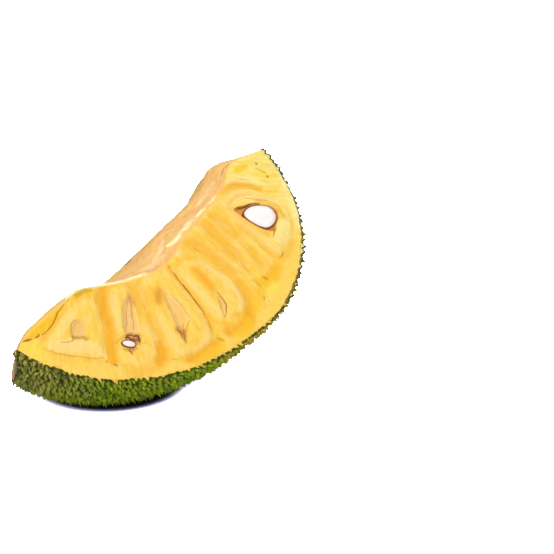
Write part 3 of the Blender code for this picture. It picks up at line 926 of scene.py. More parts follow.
def across_fibres(x, r):
    """Which fibre passes through (x, r)."""
    across = x
    for _ in range(LEAN_ROUNDS):
        across = x - curve(FIBRE_LEAN, across) * np.clip(r - LEAN_CENTRE, -6, 6) * LEAN_SHARE
    return across + FIBRE_WAVE * ripple(x * 0.4, r * 0.55, 51)


def bulb_rim(gap, a, b):
    """The paler edge just inside a bulb, coming and going along it."""
    band = ease(-0.75, -0.35, gap) * (1 - ease(-0.25, 0.0, gap))
    return band * (0.5 + 0.5 * ripple(a * 0.7, b * 0.7, 6))


def bulb_seam(gap, a, b):
    """The more orange line just outside a bulb."""
    band = ease(-0.05, 0.12, gap) * (1 - ease(0.15, 0.50, gap))
    return band * (0.5 + 0.5 * ripple(a * 0.8, b * 0.8, 7))


print("the fibre through x 9, r 9 is the one at x", across_fibres(np.array(9.0), np.array(9.0)).round(2),
      "where r is", LEAN_CENTRE)

# %% Where the front cut's marks lie on its mesh
SQUASHED_FROM = (3.6, 4.6)     # x over which the bulbs turn into thin folds
SQUASHED_TO = (8.4, 9.2)       # and back
FOLD_WANDER = 0.28

across = across_fibres(front_x, front_r)
gap_to_skin = flesh_radius - front_r
squashed = ease(*SQUASHED_FROM, front_x) * (1 - ease(*SQUASHED_TO, front_x))
mark_x, mark_r = wander(front_x, front_r, 0.06, 0.07, 50)
mark_x = mark_x + FOLD_WANDER * squashed * ripple(front_x * 0.5, front_r * 0.5, 52)
line_x, line_r = wander(front_x, front_r, 0.02, 0.045, 55)
bulb_gap = nearest_outline(BULBS, mark_x, mark_r)
inside_bulb = ease(0.05, 0.8, -bulb_gap)
large_gap = outline_distance(LARGE_HOLLOW, front_x, front_r)
small_gap = outline_distance(SMALL_HOLLOW, front_x, front_r)
slit_gap = nearest_outline(SLITS, front_x, front_r)
orange = np.maximum(strokes(ORANGE_STRANDS, mark_x, mark_r),
                    (0.6 - 0.35 * squashed) * bulb_seam(bulb_gap, front_x, front_r))
pale = np.maximum(strokes(PALE_RIMS, mark_x, mark_r),
                  (0.5 - 0.35 * squashed) * bulb_rim(bulb_gap, front_x, front_r))
front_line_gap, front_line_ink, line_dent = fine_lines(DARK_LINES, line_x, line_r)
print("share of the front cut that is bulbs:", round(float((bulb_gap < 0).mean()), 2))

# %% Relief of the front cut
BULGE = 0.10
STRAND_DEPTH = 0.10
RIM_HEIGHT = 0.05
STREAK_HEIGHT = 0.010
RAG_STREAKS = 0.022            # the rag between bulbs is this much more streaky
WAVE_HEIGHT = 0.03
SLIT_DEPTH = 0.17
LARGE_DEPTH = 0.40
SMALL_DEPTH = 0.20
LINE_DEPTH = 0.05
EDGE_FADE = 0.9                # the relief fades out over this distance from the skin

streaks = ripple(across * 3.2, front_r * 0.45, 3) + 0.6 * ripple(across * 7.5, front_r * 0.9, 4)
rag = 1 - inside_bulb
front_height = (BULGE * inside_bulb - STRAND_DEPTH * orange * rag + RIM_HEIGHT * pale
                + (STREAK_HEIGHT + RAG_STREAKS * rag) * streaks * (1 - 0.5 * ease(3.0, 6.0, front_x))
                - SLIT_DEPTH * (1 - ease(-0.22, 0.05, slit_gap)) - LINE_DEPTH * line_dent
                + WAVE_HEIGHT * ripple(front_x * 0.6, front_r * 0.6, 5))
front_height = front_height * ease(0.0, EDGE_FADE, gap_to_skin) * ease(0, 1.0, front_x - LEFT_END)
front_height -= LARGE_DEPTH * (1 - ease(-0.20, 0.02, large_gap))
front_height -= SMALL_DEPTH * (1 - ease(-0.16, 0.02, small_gap))
front = on_front(front_x, front_r, front_height)
print("front relief, mm:", (front_height.min() * 10).round(1), "to", (front_height.max() * 10).round(1))

# %% [markdown]
# ## The strip where the core was
# The core is cut away before a jackfruit is sold in pieces. What is left is a smooth, slightly
# stringy, peach-coloured strip with cream streaks. Its fibres run along the fruit, so here the
# texture is stretched the other way.

# %% Marks of the strip, placed by x and distance from the front ridge
STRIP_CREAM = (
    (1.0, 0.14, 0.20, ((-9.5, 0.10), (-7.0, 0.08), (-5.0, 0.10), (-3.6, 0.08), (-2.4, 0.20))),
    (1.0, 0.13, 0.18, ((1.8, 1.15), (2.3, 0.85), (3.0, 0.62), (3.7, 0.68))),
    (1.0, 0.12, 0.18, ((3.5, 0.78), (4.2, 0.62), (4.9, 0.60), (5.5, 0.48))),
    (0.9, 0.09, 0.18, ((5.9, 0.46), (6.5, 0.40), (7.1, 0.28))),
    (0.7, 0.06, 0.16, ((7.8, 0.30), (8.3, 0.18), (8.8, 0.14))),
    (0.6, 0.05, 0.16, ((4.6, 1.02), (5.3, 0.90), (6.0, 0.78))),
    (0.5, 0.06, 0.20, ((-1.4, 0.80), (-0.4, 0.92), (0.8, 0.98))),
    (0.4, 0.10, 0.30, ((-2.0, 1.20), (0.0, 1.40), (2.4, 1.90))),
    (0.4, 0.10, 0.30, ((7.6, 1.50), (9.0, 1.30), (10.4, 1.20))),
)
STRIP_TAN = (
    (0.8, 0.05, 0.20, ((4.0, 2.70), (4.7, 2.35), (5.5, 2.00), (6.6, 1.75))),
    (0.6, 0.10, 0.25, ((-1.7, 0.35), (-1.0, 0.50), (-0.3, 0.30))),
    (0.6, 0.06, 0.20, ((0.0, 0.25), (0.6, 0.45), (1.2, 0.70))),
    (0.5, 0.08, 0.25, ((-3.0, 0.80), (-2.0, 0.75), (-0.8, 0.95))),
)
STRIP_LINES = (
    (0.9, 0.035, ((11.2, 0.62), (11.85, 0.50), (12.25, 0.28), (12.7, 0.15))),
    (0.4, 0.020, ((-1.6, 0.15), (-1.1, 0.30), (-0.5, 0.18))),
    (0.4, 0.020, ((5.8, 2.10), (7.2, 1.80), (8.6, 1.70))),
)
print("strip:", len(STRIP_CREAM), "cream streaks,", len(STRIP_TAN), "tan ones,", len(STRIP_LINES), "lines")


# %% Relief of the strip
def surface_normals(points, up):
    """Unit normals of a grid of points, on the side that up points to."""
    normals = np.cross(np.gradient(points, axis=0), np.gradient(points, axis=1))
    normals /= np.maximum(np.linalg.norm(normals, axis=-1, keepdims=True), 1e-9)
    side = np.sign(normals @ np.array(up))
    side[side == 0] = 1
    return normals * side[..., None]


STRIP_DEPTH = 0.06

streak_x, streak_across = wander(strip_x, strip_across, 0.06, 0.09, 60)
strip_cream = strokes(STRIP_CREAM, streak_x, streak_across)
strip_tan = strokes(STRIP_TAN, streak_x, streak_across)
strip_line_gap, strip_line_ink, strip_dent = fine_lines(STRIP_LINES, streak_x, streak_across)
strip_room = np.minimum(shares(STRIP_STEPS), 1 - shares(STRIP_STEPS)) * 2
strip_height = (RIM_HEIGHT * strip_cream - STRIP_DEPTH * strip_tan - LINE_DEPTH * strip_dent
                + 0.05 * ripple(strip_x * 0.5, strip_across * 1.6, 8)
                + 0.040 * ripple(strip_x * 1.6 + strip_across, strip_across * 3.2, 9)
                + 0.020 * ripple(strip_x * 3.4, strip_across * 6.0, 10))
strip_height = strip_height * ease(0, 0.4, strip_room) * ease(0, 1.0, strip_x - LEFT_END)
strip = strip_flat + surface_normals(strip_flat, (0, 0.1, 1)) * strip_height[..., None]
print("strip relief, mm:", (strip_height.min() * 10).round(1), "to", (strip_height.max() * 10).round(1))

# %% [markdown]
# ## The back cut
# The knife also opened a row of bulbs on the far side, with two seeds left in them. Nothing shows
# their exact outlines, so each bulb is a drop shape made by one formula, at the pitch of the
# bulbs on the front.

# %% Bulbs and seeds on the back cut, and their outlines
BACK_BULBS = (
    (-11.9, 1.05), (-8.9, 1.35), (-5.7, 1.55), (-2.5, 1.40), (0.5, 1.40), (3.4, 1.30),
    (6.4, 1.50), (9.5, 1.35), (12.4, 1.15),
)                              # x of the middle, half width
BACK_SEEDS = {
    "back_seed_low": (-5.6, 0.60, math.radians(62), (2.70, 1.70, 0.80)),
    "back_seed_high": (6.4, 0.55, math.radians(112), (2.50, 1.80, 0.80)),
}                              # x, share of the way to the rind, lean, size
OVAL_MARGIN = 0.35             # as in the packed model, between a seed and its hollow
SEED_BULBS = (-5.7, 6.4)       # these bulbs hold a seed, the others a slit


def drop_outline(x, half_width, inner, outer, lean=0.0):
    """A drop with its point towards the core."""
    turns = np.linspace(0, 2 * np.pi, 25)[:-1]
    along = (inner + outer) / 2 - (outer - inner) / 2 * np.cos(turns)
    width = half_width * np.sin(turns) * (1 - 0.35 * np.cos(turns))
    return [(x + w + lean * (r - outer), r) for w, r in zip(width, along)]


def oval_outline(x, r, lean, length, width, point=0.0):
    """An egg shape on a cut, its long axis turned by lean, its near end drawn to a point."""
    turns = np.linspace(0, 2 * np.pi, 17)[:-1]
    a = length / 2 * (np.cos(turns) - point * np.clip(-np.cos(turns), 0, 1) ** 4)
    b = width / 2 * np.sin(turns) * (1 + 0.10 * np.cos(turns))
    return [(x + p * math.cos(lean) - q * math.sin(lean), r + p * math.sin(lean) + q * math.cos(lean))
            for p, q in zip(a, b)]


def back_place(x, share):
    """A point on the flat back cut, a share of the way from its ridge to the rind."""
    x = np.array([[float(x)]])
    start = back_ridge(x)[0, 0]
    end = around(x, skin_radius(x), back_edge_angle(x))[0, 0]
    return start + (end - start) * share


print("halfway to the rind at x 0, in cm:", back_place(0, 0.5).round(2))

# %% Place the bulbs, strands, rims and slits on the back cut
DROP_INNER = 0.10              # where bulbs begin and end, as shares of the way to the rind
DROP_OUTER = 0.82
DROP_LEAN = 0.0125             # the bulbs lean more towards both ends
STRAND_GAP = 0.12
STRAND_SIDE = slice(13, 23)    # the parts of a drop's 24 points that marks follow
RIM_SIDE = slice(6, 16)
SLIT_SIDES = (slice(1, 10), slice(14, 21))
SLIT_FOOT = slice(10, 15)

drops = []
strands = []
rims = []
back_slits = []
varied = np.random.default_rng(5)
for x, half_width in BACK_BULBS:
    inner = float(np.linalg.norm(back_place(x, DROP_INNER)[1:]))
    outer = float(np.linalg.norm(back_place(x, DROP_OUTER)[1:]))
    lean = DROP_LEAN * x
    drop = drop_outline(x, half_width, inner, outer, lean)
    edge = [(px + STRAND_GAP * np.sign(px - x), r) for px, r in drop]
    drops.append(drop)
    strands.append((0.9, 0.08, 0.60, edge[STRAND_SIDE]))
    rims.append((0.7, 0.14, 0.40, drop[RIM_SIDE]))
    if x not in SEED_BULBS:
        start = inner + varied.uniform(1.2, 2.4)
        end = outer - varied.uniform(0.7, 1.6)
        bow = lean + varied.uniform(-0.18, 0.18)
        slit_middle = x + varied.uniform(-0.3, 0.3)
        back_slits.append(drop_outline(slit_middle, varied.uniform(0.14, 0.34), start, end, bow))

back_oval = {}
for name, (x, share_of_way, lean, size) in BACK_SEEDS.items():
    r = float(np.linalg.norm(back_place(x, share_of_way)[1:]))
    length, width, _ = size
    back_oval[name] = oval_outline(x, r, lean, length + OVAL_MARGIN, width + OVAL_MARGIN, 0.35)
print("back cut:", len(drops), "bulbs,", len(back_slits), "slits,", len(back_oval), "seed hollows")

# %% Relief of the back cut
BACK_DEPTH = 0.72
BACK_RIM_HEIGHT = 0.04
BACK_STREAK_HEIGHT = 0.02
BACK_SLIT_DEPTH = 0.22

back_mark_x, back_mark_r = wander(back_x, back_r, 0.34, 0.10, 70)
back_across = across_fibres(back_x, back_r)
back_gap_to_skin = flesh_radius - back_r
back_bulb_gap = nearest_outline(drops, back_mark_x, back_mark_r)
back_bulb = ease(0.05, 0.8, -back_bulb_gap)
back_orange = np.maximum(strokes(strands, back_mark_x, back_mark_r),
                         0.6 * bulb_seam(back_bulb_gap, back_x, back_r))
back_pale = np.maximum(strokes(rims, back_mark_x, back_mark_r),
                       0.5 * bulb_rim(back_bulb_gap, back_x, back_r))
slit_x, slit_r = wander(back_x, back_r, 0.34, 0.03, 70)
back_slit = patches([(0.9, 0.14, s) for s in back_slits], slit_x, slit_r)
slit_lines = [(ink, half, s[side]) for ink, half, side in zip((0.75, 0.5), (0.028, 0.020), SLIT_SIDES)
              for s in back_slits]
back_line_gap, back_line_ink, _ = fine_lines(slit_lines, slit_x, slit_r)
slit_ends = strokes([(0.6, 0.08, 0.30, s[SLIT_FOOT]) for s in back_slits], slit_x, slit_r)
back_hollow = nearest_outline(back_oval.values(), back_x, back_r)
back_streaks = (ripple(back_across * 3.0, back_r * 0.45, 13)
                + 0.6 * ripple(back_across * 6.0, back_r * 0.9, 14))
back_height = (BULGE * back_bulb - STRAND_DEPTH * back_orange * (1 - back_bulb)
               + BACK_RIM_HEIGHT * back_pale + BACK_STREAK_HEIGHT * back_streaks
               - BACK_SLIT_DEPTH * back_slit + WAVE_HEIGHT * ripple(back_x * 0.6, back_r * 0.6, 15))
back_height *= (ease(0, 0.08, shares(BACK_STEPS)) * ease(0.0, EDGE_FADE, back_gap_to_skin)
                * ease(0, 1.5, back_x - LEFT_END))
back_height -= BACK_DEPTH * (1 - ease(-0.22, 0.03, back_hollow))
back = back_flat + surface_normals(back_flat, (0, 0.55, 0.83)) * back_height[..., None]
print("back relief, mm:", (back_height.min() * 10).round(1), "to", (back_height.max() * 10).round(1))

# %% [markdown]
# ## Rounding the ridges
# A knife leaves a crisp ridge in wet flesh, but it soon softens. Averaging each point with its
# neighbours along the ring, strongly at a ridge and not at all further away, rounds it.

# %% Join the rings, round the ridges, press the foot flat
RIDGE_ROUNDING = 0.22
ROUNDING_PASSES = 24
FLESH_CLEARANCE = 0.12         # between the pressed flesh and the table, with rind in between

rings = np.concatenate((front, strip, back, under), axis=1)
steps_between = np.linalg.norm(np.roll(rings, -1, axis=1) - rings, axis=-1)
along_ring = np.cumsum(steps_between, axis=1) - steps_between
softness = np.zeros(along_ring.shape)
for corner in (FRONT_STEPS, FRONT_STEPS + STRIP_STEPS):
    gap = np.abs(along_ring - along_ring[:, corner:corner + 1])
    softness = np.maximum(softness, 1 - ease(0.3 * RIDGE_ROUNDING, 1.6 * RIDGE_ROUNDING, gap))
for _ in range(ROUNDING_PASSES):
    average = (np.roll(rings, 1, axis=1) + np.roll(rings, -1, axis=1)) / 2
    rings = rings + (average - rings) * softness[..., None]
rings = press_down(rings, FLESH_CLEARANCE)
print("flesh:", rings.shape[0], "rings of", rings.shape[1], "points")

# %% [markdown]
# ## What is painted on the flesh
# A ring runs over the front cut, the strip, the back cut and under the rind, so each painted
# number is four arrays joined. The stalk end of a jackfruit dries brown and keeps some skin, and
# a cut near the blossom end shows a dark line of skin along its rim.

# %% One number for every point of a ring
FARTHEST = 2.0                 # distances are stored up to here
SLOPE_STEP = 0.05


def whole_ring(front_part, strip_part, back_part, under_part=0.0):
    """One number for every point, from its values on each surface."""
    shapes = (front_x.shape, strip_x.shape, back_x.shape, under_angle.shape)
    parts = (front_part, strip_part, back_part, under_part)
    return np.concatenate([np.broadcast_to(p, s) for p, s in zip(parts, shapes)], axis=1).ravel()


def near_gaps(*gaps):
    """Distances on the front cut, the strip and the back cut, none of them under the rind."""
    return whole_ring(*(np.minimum(gap, FARTHEST) for gap in gaps), FARTHEST)


def skin_edge(x, r, gap):
    """How much of the dark skin shows on a cut, in an uneven line along its rim."""
    steep = (skin_radius(x + SLOPE_STEP) - skin_radius(x - SLOPE_STEP)) / (2 * SLOPE_STEP)
    uneven = 0.07 * ripple(x * 2.4, r * 2.4, 53) + 0.04 * ripple(x * 5.0, r * 5.0, 54)
    return ease(3.0, 8.0, x) * (1 - ease(0.09, 0.20, gap / np.hypot(1, steep) + uneven))


print("numbers painted on the flesh have", whole_ring(0, 0, 0).size, "values each")

# %% The painted numbers
STALK_SKIN = 0.9
BROWN_RANGE = (-12.5, -8.5)    # x over which the back cut's brown end fades
PEACH_RANGE = (-12.5, -9.5)    # x over which the strip turns peach
CREAM_RANGE = (-9.4, -2.2)     # x along which the front ridge is torn and cream
FRESH_RANGE = (8.0, 14.5)      # x over which the flesh turns paler

border_front, border_back = (1 - ease(0.4, 1.9, gap) for gap in (gap_to_skin, back_gap_to_skin))
back_skin = np.maximum(skin_edge(back_x, back_r, back_gap_to_skin),
                       STALK_SKIN * (1 - ease(-15.9, -13.2, back_x)))
under_skin = STALK_SKIN * (1 - ease(-15.8, -12.6, station))
ridge_fade = 1 - ease(0.0, 0.22, front_r - front_ridge_distance(station))
strip_end = ease(*PEACH_RANGE, strip_x)
back_from_ridge = np.linalg.norm(back_flat - back_corner, axis=-1)
back_peach = (1 - ease(0.1, 0.7, back_from_ridge)) * ease(*PEACH_RANGE, back_x)
back_brown = ((1 - ease(*BROWN_RANGE, back_x))
              * (0.75 + 0.25 * ripple(back_x * 1.5, back_r * 1.5, 16)))
front_cream = np.where((front_x > CREAM_RANGE[0]) & (front_x < CREAM_RANGE[1]), ridge_fade, 0.0)
flesh_numbers = {
    "border": whole_ring(border_front, 0, border_back, 1),
    "orange": whole_ring(orange, 0, back_orange),
    "pale": whole_ring(pale, 0, back_pale),
    "lemon": whole_ring(patches(LEMON_PATCHES, mark_x, mark_r), 0, 0),
    "bright": whole_ring(strokes(BRIGHT_RAG, mark_x, mark_r), 0.5 * (1 - strip_end), 0),
    "clear": whole_ring(patches(TRANSLUCENT, mark_x, mark_r), 0, back_slit),
    "brown": whole_ring(strokes(BROWN_STAINS, mark_x, mark_r), 0, np.maximum(back_brown, slit_ends)),
    "green": whole_ring(strokes(GREEN_STAINS, mark_x, mark_r), 0, 0),
    "skin": whole_ring(skin_edge(front_x, front_r, gap_to_skin), 0, back_skin, under_skin),
    "bulb": whole_ring(inside_bulb, 0, back_bulb),
    "peach": whole_ring(0.7 * ridge_fade, strip_end, back_peach),
    "cream": whole_ring(front_cream, strip_cream, 0),
    "tan": whole_ring(0, strip_tan, 0),
    "line": near_gaps(front_line_gap, strip_line_gap, back_line_gap),
    "ink": whole_ring(front_line_ink, strip_line_ink, back_line_ink),
    "hollow": near_gaps(large_gap, FARTHEST, back_hollow),
    "fresh": whole_ring(ease(*FRESH_RANGE, front_x), 0, 0.5 * ease(*FRESH_RANGE, back_x)),
    "grain": np.stack((
        whole_ring(across, strip_across * 1.6 + 40, back_across + 80),
        whole_ring(front_r, strip_x, back_r),
        whole_ring(front_x, strip_x, back_x),
    ), -1),
}
print("painted on the flesh:", ", ".join(flesh_numbers))

# %% The flesh's mesh
count = rings.shape[1]
index = np.arange(STATIONS * count).reshape(STATIONS, count)
ahead = np.roll(index, -1, axis=1)
quads = np.stack((index[:-1], ahead[:-1], ahead[1:], index[1:]), -1).reshape(-1, 4)
caps = [index[0][::-1].tolist(), index[-1].tolist()]
flesh = new_piece("flesh", rings.reshape(-1, 3), quads.tolist() + caps, "flesh",
                  ("jackfruit_wedge",), flesh_numbers)

# %% [markdown]
# ## Seeds
# A jackfruit seed is a smooth ivory egg. The knife went through these, so each shows a nearly
# flat cut flush with the flesh. Rings that shrink from the outline to the middle make such a
# shape: over the top they stay nearly level, underneath they follow an ellipse.

# %% A seed from its outline
SEED_RINGS = 12                # over the cut, and as many below it
SEED_CROWN = 0.05              # how far the cut's middle stands proud
BELOW_RIM = 0.4                # what the kernel's painted number is underneath


def seed_sheet(outline, place_on, depth):
    """Points, faces and numbers of a closed seed, its cut at the level of the surface."""
    centre = outline.mean(0)
    count = len(outline)
    top = np.linspace(0, 1, SEED_RINGS + 1)[1:]
    turn = top * math.pi / 2
    sizes = np.concatenate((top, np.cos(turn)))[:-1]
    levels = np.concatenate((SEED_CROWN * (1 - top ** 2.4), -depth * np.sin(turn)))[:-1]
    points = [place_on(*centre, SEED_CROWN)]
    rim = [0.0]
    for size, level in zip(sizes, levels):
        points += [place_on(a, b, level) for a, b in centre + (outline - centre) * size]
        rim += [size if level > -0.5 * depth else BELOW_RIM] * count
    points.append(place_on(*centre, -depth))
    rim.append(BELOW_RIM)
    last = 1 + (len(sizes) - 1) * count
    faces = []
    for k in range(count):
        n = (k + 1) % count
        faces.append((0, 1 + k, 1 + n))
        faces.append((last + k, len(points) - 1, last + n))
        faces += [(start + k, start + count + k, start + count + n, start + n)
                  for start in range(1, last, count)]
    return np.array(points), faces, np.array(rim)


# %% The torn skin round a seed
def membrane(line, side, place_on, low, high, seed, closed=True):
    """A thin upright sheet along a line, closed on all sides, with a ragged upper edge."""
    count = len(line)
    upper = high * (0.725 + 0.275 * ripple(shares(count) * 23, 0, seed))
    points = []
    for (a, b), out, top in zip(line, side, upper):
        points += [place_on(a, b, low), place_on(a, b, top),
                   place_on(a + out[0], b + out[1], top - 0.01),
                   place_on(a + out[0] * 1.3, b + out[1] * 1.3, low)]
    faces = []
    for k in range(count if closed else count - 1):
        n = (k + 1) % count
        for edge in range(4):
            after = (edge + 1) % 4
            faces.append((4 * k + edge, 4 * n + edge, 4 * n + after, 4 * k + after))
    if not closed:
        faces.append((0, 1, 2, 3))
        faces.append(tuple(4 * (count - 1) + edge for edge in (3, 2, 1, 0)))
    return np.array(points), faces


def unit(vectors):
    """Vectors made one long."""
    return vectors / np.linalg.norm(vectors, axis=-1, keepdims=True)


def join(parts):
    """Put several lists of points and faces into one."""
    points = []
    faces = []
    for more_points, more_faces in parts:
        start = sum(len(p) for p in points)
        points.append(more_points)
        faces += [tuple(v + start for v in face) for face in more_faces]
    return np.concatenate(points), faces


# %% Seeds with their skins
COAT_GAP = 1.035               # the torn skin's size, as a share of the kernel's
COAT_ROOT = 0.6                # how deep it reaches, as a share of the kernel's depth
SCRAP_ROOT = -0.25
SCRAP_TOP = 0.04
SCRAP_THICKNESS = 0.036


def add_seed(name, outline, place_on, depth, coat_top, coat_thickness, seed, scraps=(), blush=0.0):
    """A seed and the torn skin round it. Blush makes the whole kernel as pink as its edge."""
    outline = bend(outline, True)[:-1]
    points, faces, rim = seed_sheet(outline, place_on, depth)
    piece = new_piece(name + "_cut", points, faces, "seed", (name,), {"rim": np.maximum(rim, blush)})
    middle = outline.mean(0)
    uneven = 1.0 + 0.4 * ripple(np.arange(len(outline)) * 0.17, 0, seed + 2)
    side = unit(outline - middle) * uneven[:, None] * coat_thickness
    parts = [membrane(middle + (outline - middle) * COAT_GAP, side, place_on, -COAT_ROOT * depth,
                      coat_top, seed)]
    for scrap in scraps:
        line = bend(scrap)
        run = unit(np.gradient(line, axis=0))
        thinner = np.sin(np.pi * np.linspace(0.12, 0.88, len(line)))
        side = np.stack((-run[:, 1], run[:, 0]), -1) * thinner[:, None] * SCRAP_THICKNESS
        parts.append(membrane(line, side, place_on, SCRAP_ROOT, SCRAP_TOP, seed + 1, closed=False))
    coat = new_piece(name + "_coat", *join(parts), "seed_coat")
    return piece, coat


# %% The seeds on the front cut
LARGE_SEED = (
    (9.50, 4.20), (9.75, 3.85), (10.35, 3.74), (11.05, 3.86), (11.70, 4.16), (12.15, 4.55),
    (12.28, 5.02), (12.10, 5.52), (11.60, 5.88), (10.95, 6.02), (10.35, 5.90), (9.95, 5.52),
    (9.65, 4.95),
)
SMALL_SEED = oval_outline(-8.36, 7.22, math.radians(40), 1.00, 0.54)
TORN_SKIN = (                  # scraps left in the pocket next to the small seed
    ((-8.10, 6.65), (-7.92, 6.82), (-7.88, 7.08), (-7.72, 7.28)),
    ((-7.76, 7.08), (-7.46, 6.96), (-7.18, 7.14), (-7.34, 7.46), (-7.50, 7.64)),
    ((-7.84, 7.32), (-7.60, 7.30), (-7.40, 7.20)),
)


def put_on_front(a, b, h):
    """A place on the front cut and a height above it."""
    return on_front(np.array(float(a)), float(b), float(h))


seed_pieces = [
    add_seed("large_seed", LARGE_SEED, put_on_front, depth=0.80, coat_top=0.0,
             coat_thickness=0.06, seed=31),
    add_seed("small_seed", SMALL_SEED, put_on_front, depth=0.32, coat_top=0.04,
             coat_thickness=0.055, seed=32, scraps=TORN_SKIN, blush=0.82),
]

# %% The seeds on the back cut
def cut_frame(origin, along, normal):
    """A function that puts (a, b, height) on a cut, from an origin and two directions."""
    aside = np.cross(normal, along)
    return lambda a, b, h: origin + along * a + aside * b + normal * h


for name, (x, share_of_way, lean, (length, width, depth)) in BACK_SEEDS.items():
    origin = back_place(x, share_of_way)
    run = unit(back_place(x + 1, share_of_way) - origin)
    outward_run = unit(back_place(x, 1.0) - back_place(x, 0.0))
    along = unit(run * math.cos(lean) + outward_run * math.sin(lean))
    place_on = cut_frame(origin, along, unit(np.cross(run, outward_run)))
    outline = oval_outline(0, 0, 0, length, width, 0.04)
    seed_pieces.append(add_seed(name, outline, place_on, depth, coat_top=0.0,
                                coat_thickness=0.06, seed=33))

# %% [markdown]
# ## Shader maths as sums
# A node tree is hard to read as wires but easy as a formula. The class below wraps one output
# socket. Adding or multiplying wraps adds a Math node, and one method adds any other node.

# %% A socket that can be used in sums
class Wire:
    """One output socket of a material's node tree."""

    def __init__(self, tree, socket=None):
        self.tree = tree
        self.socket = socket

    def node(self, kind, settings, inputs, output=0):
        """Add a node of any type: its settings, then a value or a wire for each input."""
        made = self.tree.nodes.new(kind)
        for name, value in settings.items():
            setattr(made, name, value)
        for key, value in inputs.items():
            if isinstance(value, Wire):
                self.tree.links.new(value.socket, made.inputs[key])
            else:
                made.inputs[key].default_value = value
        return Wire(self.tree, made.outputs[output])

    def math(self, operation, *values):
        """A Math node of this wire and other values."""
        return self.node("ShaderNodeMath", {"operation": operation}, dict(enumerate((self, *values))))

    def __add__(self, other):
        return self.math("ADD", other)

    def __radd__(self, other):
        return self.math("ADD", other)

    def __sub__(self, other):
        return self.math("SUBTRACT", other)

    def __rsub__(self, other):
        return (self * -1.0) + other

    def __mul__(self, other):
        return self.math("MULTIPLY", other)

    def __rmul__(self, other):
        return self.math("MULTIPLY", other)

    def limited(self):
        """Kept between 0 and 1."""
        return self.node("ShaderNodeClamp", {}, {"Value": self})

    def rise(self, low, high):
        """A smooth rise from 0 at low to 1 at high."""
        return self.node("ShaderNodeMapRange", {"interpolation_type": "SMOOTHSTEP"},
                         {"Value": self, "From Min": low, "From Max": high})

    def blend(self, below, above):
        """This wire as the share of one colour over another."""
        return self.node("ShaderNodeMix", {"data_type": "RGBA"}, {0: self, 6: below, 7: above}, 2)

    def stretched(self, x, y, z):
        """A vector with each part multiplied."""
        return self.node("ShaderNodeVectorMath", {"operation": "MULTIPLY"}, {0: self, 1: (x, y, z)})

    def noise(self, detail, distortion=0.0):
        """Smooth noise at this vector, about 0 to 1, with a bump to each unit."""
        return self.node("ShaderNodeTexNoise", {},
                         {"Vector": self, "Scale": 1.0, "Detail": detail, "Distortion": distortion})

    def bump(self, strength, distance):
        """A bent normal from this wire as a height, in metres at 1."""
        return self.node("ShaderNodeBump", {}, {"Strength": strength, "Distance": distance, "Height": self})

    def painted(self, name, output="Fac"):
        """A number or vector stored on the mesh."""
        return self.node("ShaderNodeAttribute", {"attribute_name": name}, {}, output)


print("a wire knows:", ", ".join(name for name in vars(Wire) if not name.startswith("_")))

# %% Colours, materials and layers of colour
ALBEDO = 0.80                  # how much of the seen brightness is the surface's own


def seen(red, green, blue):
    """A colour as seen in soft daylight, 0 to 255, as the linear colour of a surface."""
    return tuple(ALBEDO * ((c / 255 + 0.055) / 1.055) ** 2.4 for c in (red, green, blue)) + (1.0,)


def new_material(name, **settings):
    """A material with a Principled shader, its constants set on the shader's own sockets."""
    material = bpy.data.materials.new(name)
    material.use_nodes = True
    shader = material.node_tree.nodes["Principled BSDF"]
    for socket, value in settings.items():
        shader.inputs[socket.replace("_", " ")].default_value = value
    return material, Wire(material.node_tree), shader


def feed(shader, socket, wire):
    """Link a wire to one of the shader's inputs."""
    wire.tree.links.new(wire.socket, shader.inputs[socket])


def layered(colour, layers):
    """Lay colours over one another, each with the share of it that shows."""
    for share, over in layers:
        colour = share.blend(colour, over)
    return colour


print("ripe yellow as a surface's own colour:", [round(part, 2) for part in seen(251, 214, 92)])

# %% [markdown]
# ## Flesh
# Ripe flesh is a warm yellow that lets some light in, so it gets a little subsurface scattering.
# Over the base colour come the painted marks, from broad to fine, each broken up by noise along
# the fibres. The darkest, finest lines come from a stored distance, which stays sharp.

